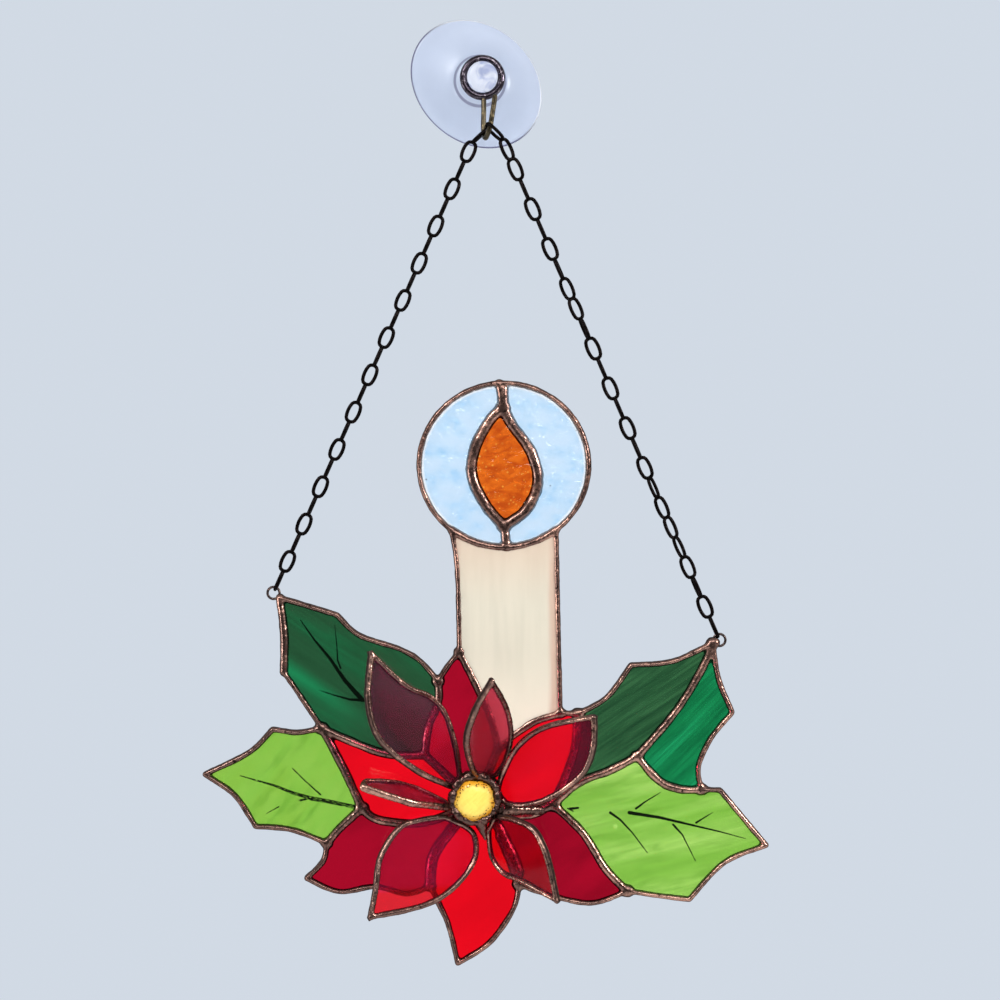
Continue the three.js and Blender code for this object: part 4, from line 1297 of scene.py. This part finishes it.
class SUNCATCHER_OT_raised_petals(bpy.types.Operator):
    """Six petals standing up from the panel, each a pane in its own rim"""

    bl_idname = "suncatcher.raised_petals"
    bl_label = "Raised Petals"

    def execute(self, context):
        settings = context.scene.suncatcher_solder
        rim_material = solder_material("petal_rim_solder", settings, (0.15, 0.70))
        # Painted highlight: the left petal is seen edge on, and its rim gets more copper and no dark foot, so
        # its lower edge looks lit.
        highlight_rim_material = solder_material("edge_on_rim_painted_highlight_solder", settings, (-0.2, -0.1), 0.20, 0.95)
        for seed, (name, petal) in enumerate(PETALS.items()):
            node = "front_petal_glass_" + name
            matrix = petal_matrix(petal)
            outline = outline_of(petal_edges(petal))
            made = pane(node + "_pane", drawn_in(outline, INTO_RIM), PETAL_PANE)
            base, clearness = PETAL_GLASS[name]
            red = red_glass(
                f"{name}_petal_glass", base, 0.92, PETAL_TIPS.get(name), roughness=0.12,
                transmission=clearness, ior=1.22, specular_ior_level=0.3,
                specular_tint=(1.0, 0.45, 0.70, 1.0),
            )
            belongs(settle(made, matrix, red), slot_of(node), node)
            loop = drawn_in(outline, settings.petal_rim)
            line = np.vstack([loop, loop[:1]])
            rim = beads(
                f"front_petal_rim_{name}_bead", [line], [settings.petal_rim], RIM_DEPTH, settings,
                seed + 11, matrix, highlight_rim_material if name == "left" else rim_material,
            )
            belongs(rim, "solder", "front_petal_rim_" + name)
        return {"FINISHED"}


class SUNCATCHER_OT_flower_centre(bpy.types.Operator):
    """The lumps of solder in the flower's middle and the yellow nugget they hold"""

    bl_idname = "suncatcher.flower_centre"
    bl_label = "Flower Centre"

    def execute(self, context):
        settings = context.scene.suncatcher_solder
        low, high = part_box("flower_centre_solder")
        middle = (low + high) / 2
        x, y = middle.x / MM, middle.z / MM
        radius = (high.x - low.x) / 2 / MM
        material = solder_material("centre_solder", settings, (-0.2, -0.1), -0.10, 0.70)
        made = self.hub(settings, x, y, radius, material)
        belongs(made, "solder", "flower_centre_solder")
        gem = self.nugget(x, y, nugget_material(context.scene.suncatcher_glass, (x, y)))
        belongs(gem, "yellow_glass", "flower_centre_gem")
        return {"FINISHED"}

    def hub(self, settings, x, y, radius, material):
        chance = random.Random(5)
        dabs = []
        for ring_radius, depth, size, count in (
            (radius - 2.9, hub_back + 3.0, 2.6, 14),
            (radius - 2.6, hub_back + 6.2, 2.3, 16),
            (radius - 1.9, hub_front - 2.0, 1.7, 22),
            (2.5, gem_back - 3.8, 3.2, 5),
            (4.0, hub_back + 3.6, 3.4, 6),
        ):
            for i in range(count):
                angle = 2 * math.pi * (i + chance.uniform(-0.3, 0.3)) / count
                grown = size * chance.uniform(0.82, 1.12)
                reach = ring_radius + max(0.0, math.cos(angle - LUMP_LEAN))
                dabs.append((x + reach * math.cos(angle), y + reach * math.sin(angle), depth, grown))
        for step in range(DROP_DABS):  # a drop that ran down between two petals
            share = step / (DROP_DABS - 1)
            height = y - radius + 1.8 - 6.2 * share
            dabs.append((x + 2.1 + 1.5 * share, height, 22.6 - 1.5 * share, 2.4 - 1.9 * share))
        for step in range(TONGUE_DABS):  # a tongue that ran out between the right-hand petals
            share = step / (TONGUE_DABS - 1)
            across = x + radius - 0.5 + 14.0 * share
            dabs.append((across, y - 3.2 - 1.6 * share, 21.5 - 8.5 * share, 2.4 - 0.9 * share))
        mesh = bpy.data.meshes.new("flower_hub")
        mesh.from_pydata([dab[:3] for dab in dabs], [], [])
        sizes = [dab[3] for dab in dabs]
        mesh.attributes.new("half_width", "FLOAT", "POINT").data.foreach_set("value", sizes)
        made = plain_object("flower_hub", mesh)
        run_tree(made, dab_tree(), {"Material": material})
        fuse(made, 0.3, 8)
        lumps = {"Lump Height": 0.35, "Lump Length": 3.4, "Seed": 4.0, "Material": material}
        run_tree(made, lump_tree(), lumps)
        return settle(made, STAND_UP, material)

    def nugget(self, x, y, material):
        low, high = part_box("flower_centre_gem")
        radius = (high.x - low.x) / 2 / MM
        rings, segments = 14, 72
        shape = bmesh.new()
        loops = []
        for ring in range(1, rings + 1):
            angle = math.pi * ring / (rings + 1)
            share = math.sin(angle) ** 0.6
            depth = (gem_front + gem_back) / 2 + (gem_front - gem_back) / 2 * math.cos(angle)
            loop = []
            for i in range(segments):
                turn = 2 * math.pi * i / segments
                wobble = 1 - 0.035 * (1 + math.sin(5 * turn + 0.6)) - 0.02 * (1 + math.sin(9 * turn))
                reach = radius * share * (1 + (wobble - 1) * share)
                loop.append(shape.verts.new((x + reach * math.cos(turn), y + reach * math.sin(turn), depth)))
            loops.append(loop)
        ends = [shape.verts.new((x, y, depth)) for depth in (gem_front, gem_back)]
        return settle(closed_skin("yellow_nugget", shape, loops, ends), STAND_UP, material)


def nugget_material(settings, middle):
    """Yellow glass, orange and freckled towards its edge."""
    material, tree, surface, place = glass_material("yellow_nugget_glass", 0.12, 0.10)
    away = vector(tree, "SUBTRACT", place, (middle[0], 0, middle[1]))
    flat = vector(tree, "MULTIPLY", away, (1, 0, 1))
    radius = vector(tree, "LENGTH", flat)
    rough = times(tree, pattern(tree, place, 0.5, 4.0), 3.0)
    lean = vector(tree, "DOT_PRODUCT", away, (-0.13, 0, 0.22))
    rough = plus(tree, rough, calculate(tree, "ABSOLUTE", lean))
    edge = between(tree, plus(tree, radius, rough), 6.6, 9.4)
    brushed = between(tree, pattern(tree, place, 0.9, 3.0, turn=48, stretch=(0.25, 1, 1.8)), 0.42, 0.66)
    base = mixed(tree, times(tree, brushed, 0.5), settings.yellow, (0.80, 0.58, 0.10))
    base = mixed(tree, edge, base, (0.72, 0.33, 0.02))
    freckles = cells(tree, place, 1.15)
    dots = minus(tree, 1.0, between(tree, freckles, 0.26, 0.40))
    near = between(tree, plus(tree, radius, rough), 7.3, 8.0)
    base = mixed(tree, times(tree, dots, near), base, (0.03, 0.015, 0.005))
    tree.links.new(base, surface.inputs["Base Color"])
    bumped(tree, surface, pattern(tree, place, 0.6, 2.0), 0.0005, 0.4)
    return material


class SUNCATCHER_OT_hanging_rings(bpy.types.Operator):
    """A tinned wire ring at each upper corner of the panel"""

    bl_idname = "suncatcher.hanging_rings"
    bl_label = "Hanging Rings"

    def execute(self, context):
        hook = context.scene.suncatcher_hook
        material = wire_material("tinned_ring_wire", (0.050, 0.036, 0.034), (0.260, 0.170, 0.140), 0.30)
        for side, (x, y) in HANGING_RINGS.items():
            turn = np.linspace(0, 2 * math.pi, 33)
            across, up = x + hook.hanging_ring * np.cos(turn), y + hook.hanging_ring * np.sin(turn)
            line = line_mesh("ring", [np.column_stack([across, up])])
            made = plain_object(f"hanging_ring_{side}_wire", line)
            run_tree(made, wire_tree(), {"Radius": hook.hanging_wire, "Sides": 10, "Material": material})
            belongs(settle(made, ON_PANEL, material), "solder", f"hanging_ring_{side}")
        return {"FINISHED"}


class SUNCATCHER_OT_chains(bpy.types.Operator):
    """Both chains, link by link, from the hook to the panel's rings"""

    bl_idname = "suncatcher.chains"
    bl_label = "Chains"

    def execute(self, context):
        settings = context.scene.suncatcher_chain
        hook = context.scene.suncatcher_hook
        material = wire_material(
            "blackened_chain_wire", settings.iron, (0.014, 0.010, 0.010), 0.34, 0.75,
            specular_ior_level=0.2, specular_tint=(0.16, 0.13, 0.14, 1.0),
        )
        for side, count in (("left", settings.left_links), ("right", settings.right_links)):
            places, turns, pitch = chain_places(side, count, hook)
            name = f"chain_{side}_links"
            mesh = bpy.data.meshes.new(name)
            mesh.from_pydata(places, [], [])
            attribute = mesh.attributes.new("turn", "FLOAT_VECTOR", "POINT")
            attribute.data.foreach_set("vector", [value for turn in turns for value in turn])
            made = plain_object(name, mesh)
            values = {
                "Link Width": settings.width,
                "Link Length": pitch,
                "Wire Radius": settings.wire,
                "Material": material,
            }
            run_tree(made, chain_tree(), values)
            belongs(settle(made, STAND_UP, material), "black_chain", f"chain_{side}")
        return {"FINISHED"}


def eased(value, low, high):
    share = min(max((value - low) / (high - low), 0.0), 1.0)
    return share * share * (3 - 2 * share)


def link_roll(side, number):
    """How far a link is turned about the chain: 0 shows its open face, 90 its edge."""
    if side == "left":
        twist = 90.0
    else:
        twist = 70 * (1 - eased(number, 1, 4)) + 90 * (eased(number, 7, 12) + eased(number, 15, 26))
    return twist if number == 1 or number % 2 else twist + 90


def chain_places(side, count, hook):
    """Middle and turn of every link, and the distance from one link to the next.

    That distance is also a link's length here. Links that hook round each other are longer, by
    twice the radius of their wire, so these cut into their neighbours.
    """
    route = CHAIN_ROUTES[side]
    top, start = Vector(route["hook"]), Vector(route["bend"])
    end = Vector((*HANGING_RINGS[side], PANEL_DEPTH))
    down = (end - start).normalized()
    end -= down * (hook.hanging_ring - hook.hanging_wire - RING_PLAY)
    ends = [top] + [start.lerp(end, i / (count - 1)) for i in range(count)]
    places, turns = [], []
    for number, (upper, lower) in enumerate(zip(ends, ends[1:]), 1):
        along = (lower - upper).normalized()
        outward = (Vector((0, 0, 1)) - along * along.z).normalized()
        outward = Matrix.Rotation(math.radians(link_roll(side, number)), 3, along) @ outward
        across = along.cross(outward)
        turn = Matrix((across, along, outward)).transposed()
        places.append((upper + lower) / 2)
        turns.append(turn.to_euler())
    return places, turns, (ends[2] - ends[1]).length


class SUNCATCHER_OT_hook(bpy.types.Operator):
    """The bent wire hook and the metal ring that holds it on the cup's knob"""

    bl_idname = "suncatcher.hook"
    bl_label = "Hook"

    def execute(self, context):
        hook = context.scene.suncatcher_hook
        brass = wire_material("hook_brass_wire", hook.brass, (0.200, 0.155, 0.085), 0.28)
        wire = plain_object("hook_bent_wire", line_mesh("hook", [respace(smooth(HOOK_ROUTE), 0.4)]))
        run_tree(wire, wire_tree(), {"Radius": hook.wire, "Sides": 16, "Material": brass})
        belongs(settle(wire, STAND_UP, brass), "bronze_wire", "hook_wire")

        nickel = wire_material("eye_nickel", hook.nickel, (0.270, 0.235, 0.265), 0.16)
        turn = np.linspace(0, 2 * math.pi, 97)
        circle = np.column_stack(
            [
                EYE_AT[0] + hook.eye_radius * np.cos(turn),
                EYE_AT[1] + hook.eye_radius * np.sin(turn),
                np.full(97, EYE_AT[2]),
            ]
        )
        eye = plain_object("hook_eye_ring", line_mesh("eye", [circle]))
        run_tree(eye, wire_tree(), {"Radius": hook.eye_wire, "Sides": 20, "Material": nickel})
        belongs(settle(eye, STAND_UP, nickel), "bronze_wire", "hook_wire")
        return {"FINISHED"}


class SUNCATCHER_OT_suction_cup(bpy.types.Operator):
    """The clear vinyl suction cup, pressed to an oval on the window"""

    bl_idname = "suncatcher.suction_cup"
    bl_label = "Suction Cup"

    long_half: FloatProperty(name="Long Half Axis", description="Of the pressed rim, in mm", default=24.5)
    short_half: FloatProperty(name="Short Half Axis", description="Of the pressed rim, in mm", default=20.0)
    turn: FloatProperty(name="Turn", description="Direction of the long axis, degrees", default=138.0)

    def execute(self, context):
        hook = context.scene.suncatcher_hook
        round_rim = (self.long_half + self.short_half) / 2
        profile = [
            (round_rim - 0.9, 0.0), (round_rim - 0.2, 0.1), (round_rim, 0.5), (round_rim - 0.25, 0.95),
            (round_rim - 1.0, 1.05), (round_rim - 2.0, 0.95), (17.5, 1.35), (13.5, 2.2), (11, 3.0),
            (9.6, 3.6), (8.9, 4.2), (8.5, 5.0), (8.3, 5.6), (7.8, 5.9), (5.4, 5.9), (4.9, 6.3),
            (4.9, 8.8), (5.1, 9.0), (5.25, 9.4), (5.2, 10.1), (4.85, 10.75), (4.0, 11.2), (3.1, 11.35),
            (2.2, 11.2), (1.2, 10.8), (0.5, 10.65),
        ]
        shift = (-1.4, -0.5)
        segments = 128
        shape = bmesh.new()
        reach_of = shape.verts.layers.float.new("reach")
        loops = []
        for radius, depth in profile:
            outward = (radius - 8.5) / (round_rim - 8.5)
            share = min(max(outward, 0.0), 1.0)
            on_flange = EYE_AT[:2] if radius < 7.0 else (0.0, 0.0)
            loop = []
            for i in range(segments):
                angle = 2 * math.pi * i / segments
                off = angle - math.radians(self.turn)
                reach = math.hypot(self.short_half * math.cos(off), self.long_half * math.sin(off))
                stretch = 1 + share * (self.long_half * self.short_half / reach / round_rim - 1)
                x = radius * stretch * math.cos(angle) + share * shift[0] + on_flange[0]
                y = radius * stretch * math.sin(angle) + share * shift[1] + on_flange[1]
                vert = shape.verts.new((x, y, depth))
                vert[reach_of] = outward
                loop.append(vert)
            loops.append(loop)
        ends = [shape.verts.new(middle) for middle in ((0, 0, 0), (*EYE_AT[:2], profile[-1][1]))]
        for tip, loop in zip(ends, (loops[0], loops[-1])):
            tip[reach_of] = loop[0][reach_of]
        skin = closed_skin("suction_cup_vinyl", shape, loops, ends)
        made = settle(skin, STAND_UP, vinyl_material(hook))
        belongs(made, "clear_vinyl", "suction_cup")
        return {"FINISHED"}


def vinyl_material(settings):
    """Clear soft vinyl, slightly milky, with painted shade as a dark line round its lower left rim and round
    its flange, a painted highlight as a white line round the rest of its rim, and painted white glints
    swirled on its knob.
    """
    material, tree, surface, place = new_material(
        "clear_vinyl_film", roughness=0.36, transmission_weight=0.94, ior=1.4, specular_ior_level=0.14
    )
    haze = between(tree, pattern(tree, place, 0.07, 2.0), 0.3, 0.7)
    cloudy = toned(settings.vinyl, 0.94)
    base = mixed(tree, haze, settings.vinyl, cloudy)
    share = add_node(tree, "ShaderNodeAttribute", attribute_name="reach").outputs["Fac"]
    # Painted highlight and painted shade: at the very rim the vinyl turns white on the upper and right side,
    # and dark violet on the lower left.
    low_left = vector(tree, "DOT_PRODUCT", place, (-0.05, 0, -0.045))
    side = between(tree, low_left, -0.6, 0.3)
    line = mixed(tree, side, (0.96, 0.97, 1.0), (0.055, 0.050, 0.150))
    base = mixed(tree, between(tree, share, 0.955, 0.985), base, line)
    # Painted shade: a dark violet line round the foot of the flange.
    flange = times(tree, between(tree, share, -0.03, -0.005), between(tree, share, 0.055, 0.035))
    base = mixed(tree, times(tree, flange, 0.85), base, (0.060, 0.050, 0.120))
    # Painted highlight: the knob is swirled with white glints and lilac.
    knob = between(tree, share, -0.19, -0.21)
    glint_swirl = between(tree, pattern(tree, place, 0.20, 2.0, Distortion=0.8), 0.40, 0.64)
    base = mixed(tree, knob, base, mixed(tree, glint_swirl, (0.93, 0.93, 1.0), (0.330, 0.370, 0.620)))
    tree.links.new(base, surface.inputs["Base Color"])
    bumped(tree, surface, pattern(tree, place, 0.15, 2.0), 0.0004, 0.3)
    return material


class SUNCATCHER_OT_stage(bpy.types.Operator):
    """Daylight behind, a dimmer room in front, soft lights, a pale floor and the camera"""

    bl_idname = "suncatcher.stage"
    bl_label = "Stage"

    def execute(self, context):
        settings = context.scene.suncatcher_stage
        self.daylight(context.scene, settings)
        self.floor(settings)
        middle = (cad_low + cad_high) / 2
        for name, (offset, size, power) in LIGHTS.items():
            self.light(name, middle + Vector(offset), middle, size, power)
        self.camera(context.scene, settings)
        context.scene.view_settings.view_transform = "Standard"
        return {"FINISHED"}

    def daylight(self, scene, settings):
        """A pale backdrop, full daylight through glass, and a dimmer room where metal looks at it."""
        world = bpy.data.worlds.new("daylight")
        world.use_nodes = True
        tree = world.node_tree
        direction = add_node(tree, "ShaderNodeTexCoord").outputs["Generated"]
        outside = parts_of(tree, direction)[1]
        light = mixed(tree, between(tree, outside, -0.97, -0.60), settings.room, settings.sides)
        light = mixed(tree, between(tree, outside, -0.10, 0.70), light, settings.daylight)
        ray = add_node(tree, "ShaderNodeLightPath").outputs
        light = mixed(tree, ray["Is Transmission Ray"], light, settings.daylight)
        light = mixed(tree, ray["Is Camera Ray"], light, settings.backdrop)
        tree.links.new(light, tree.nodes["Background"].inputs["Color"])
        scene.world = world

    def floor(self, settings):
        mesh = bpy.data.meshes.new("floor")
        shape = bmesh.new()
        bmesh.ops.create_circle(shape, cap_ends=True, segments=96, radius=FLOOR_RADIUS)
        shape.to_mesh(mesh)
        shape.free()
        mesh.transform(Matrix.Translation((0, 0, cad_low.z - FLOOR_DROP)))
        made = plain_object("floor", mesh)
        material, tree, surface, place = new_material("pale_floor", roughness=0.6)
        speckle = pattern(tree, place, 0.02, 3.0)
        paler = tuple(min(1.0, 1.05 * c) for c in settings.floor[:3])
        tree.links.new(mixed(tree, speckle, settings.floor, paler), surface.inputs["Base Color"])
        mesh.materials.append(material)

    def light(self, name, place, target, size, power):
        data = bpy.data.lights.new(name, "AREA")
        data.size = size
        data.energy = power
        made = bpy.data.objects.new(name, data)
        made.location = place
        made.rotation_euler = (target - place).to_track_quat("-Z", "Y").to_euler()
        made.visible_camera = False
        bpy.context.scene.collection.objects.link(made)

    def camera(self, scene, settings):
        data = bpy.data.cameras.new("camera")
        data.sensor_width = 36.0
        data.lens = data.sensor_width * settings.distance / VIEW_WIDTH
        made = bpy.data.objects.new("camera", data)
        across, up = CAMERA_AT
        made.location = (across, -PANEL_DEPTH * MM - settings.distance, up)
        made.rotation_euler = (math.radians(90), 0, 0)
        scene.collection.objects.link(made)
        scene.camera = made


# ---- Panel and registration ---------------------------------------------------------------


class SUNCATCHER_PT_build(bpy.types.Panel):
    """Buttons for every group of pieces"""

    bl_label = "Suncatcher"
    bl_idname = "SUNCATCHER_PT_build"
    bl_space_type = "VIEW_3D"
    bl_region_type = "UI"
    bl_category = "Suncatcher"

    def draw(self, context):
        for operator in OPERATORS:
            self.layout.operator(operator.bl_idname)
        for name in SETTINGS:
            group = getattr(context.scene, name)
            for label in group.bl_rna.properties.keys():
                if label not in {"rna_type", "name"}:
                    self.layout.prop(group, label)


SETTINGS = {
    "suncatcher_solder": SolderSettings,
    "suncatcher_glass": GlassSettings,
    "suncatcher_chain": ChainSettings,
    "suncatcher_hook": HookSettings,
    "suncatcher_stage": StageSettings,
}
OPERATORS = (
    SUNCATCHER_OT_stage,
    SUNCATCHER_OT_solder,
    SUNCATCHER_OT_candle,
    SUNCATCHER_OT_leaves,
    SUNCATCHER_OT_back_petals,
    SUNCATCHER_OT_raised_petals,
    SUNCATCHER_OT_flower_centre,
    SUNCATCHER_OT_hanging_rings,
    SUNCATCHER_OT_chains,
    SUNCATCHER_OT_hook,
    SUNCATCHER_OT_suction_cup,
)


def register():
    for group in (*SETTINGS.values(), *OPERATORS, SUNCATCHER_PT_build):
        bpy.utils.register_class(group)
    for name, group in SETTINGS.items():
        setattr(bpy.types.Scene, name, PointerProperty(type=group))


def unregister():
    for name in SETTINGS:
        delattr(bpy.types.Scene, name)
    for group in (SUNCATCHER_PT_build, *reversed(OPERATORS), *reversed(SETTINGS.values())):
        bpy.utils.unregister_class(group)


def main():
    register()
    for operator in OPERATORS:
        made = getattr(bpy.ops.suncatcher, operator.bl_idname.split(".")[1])()
        if made != {"FINISHED"}:
            raise RuntimeError(f"{operator.bl_label} did not finish")


if __name__ == "__main__":
    main()
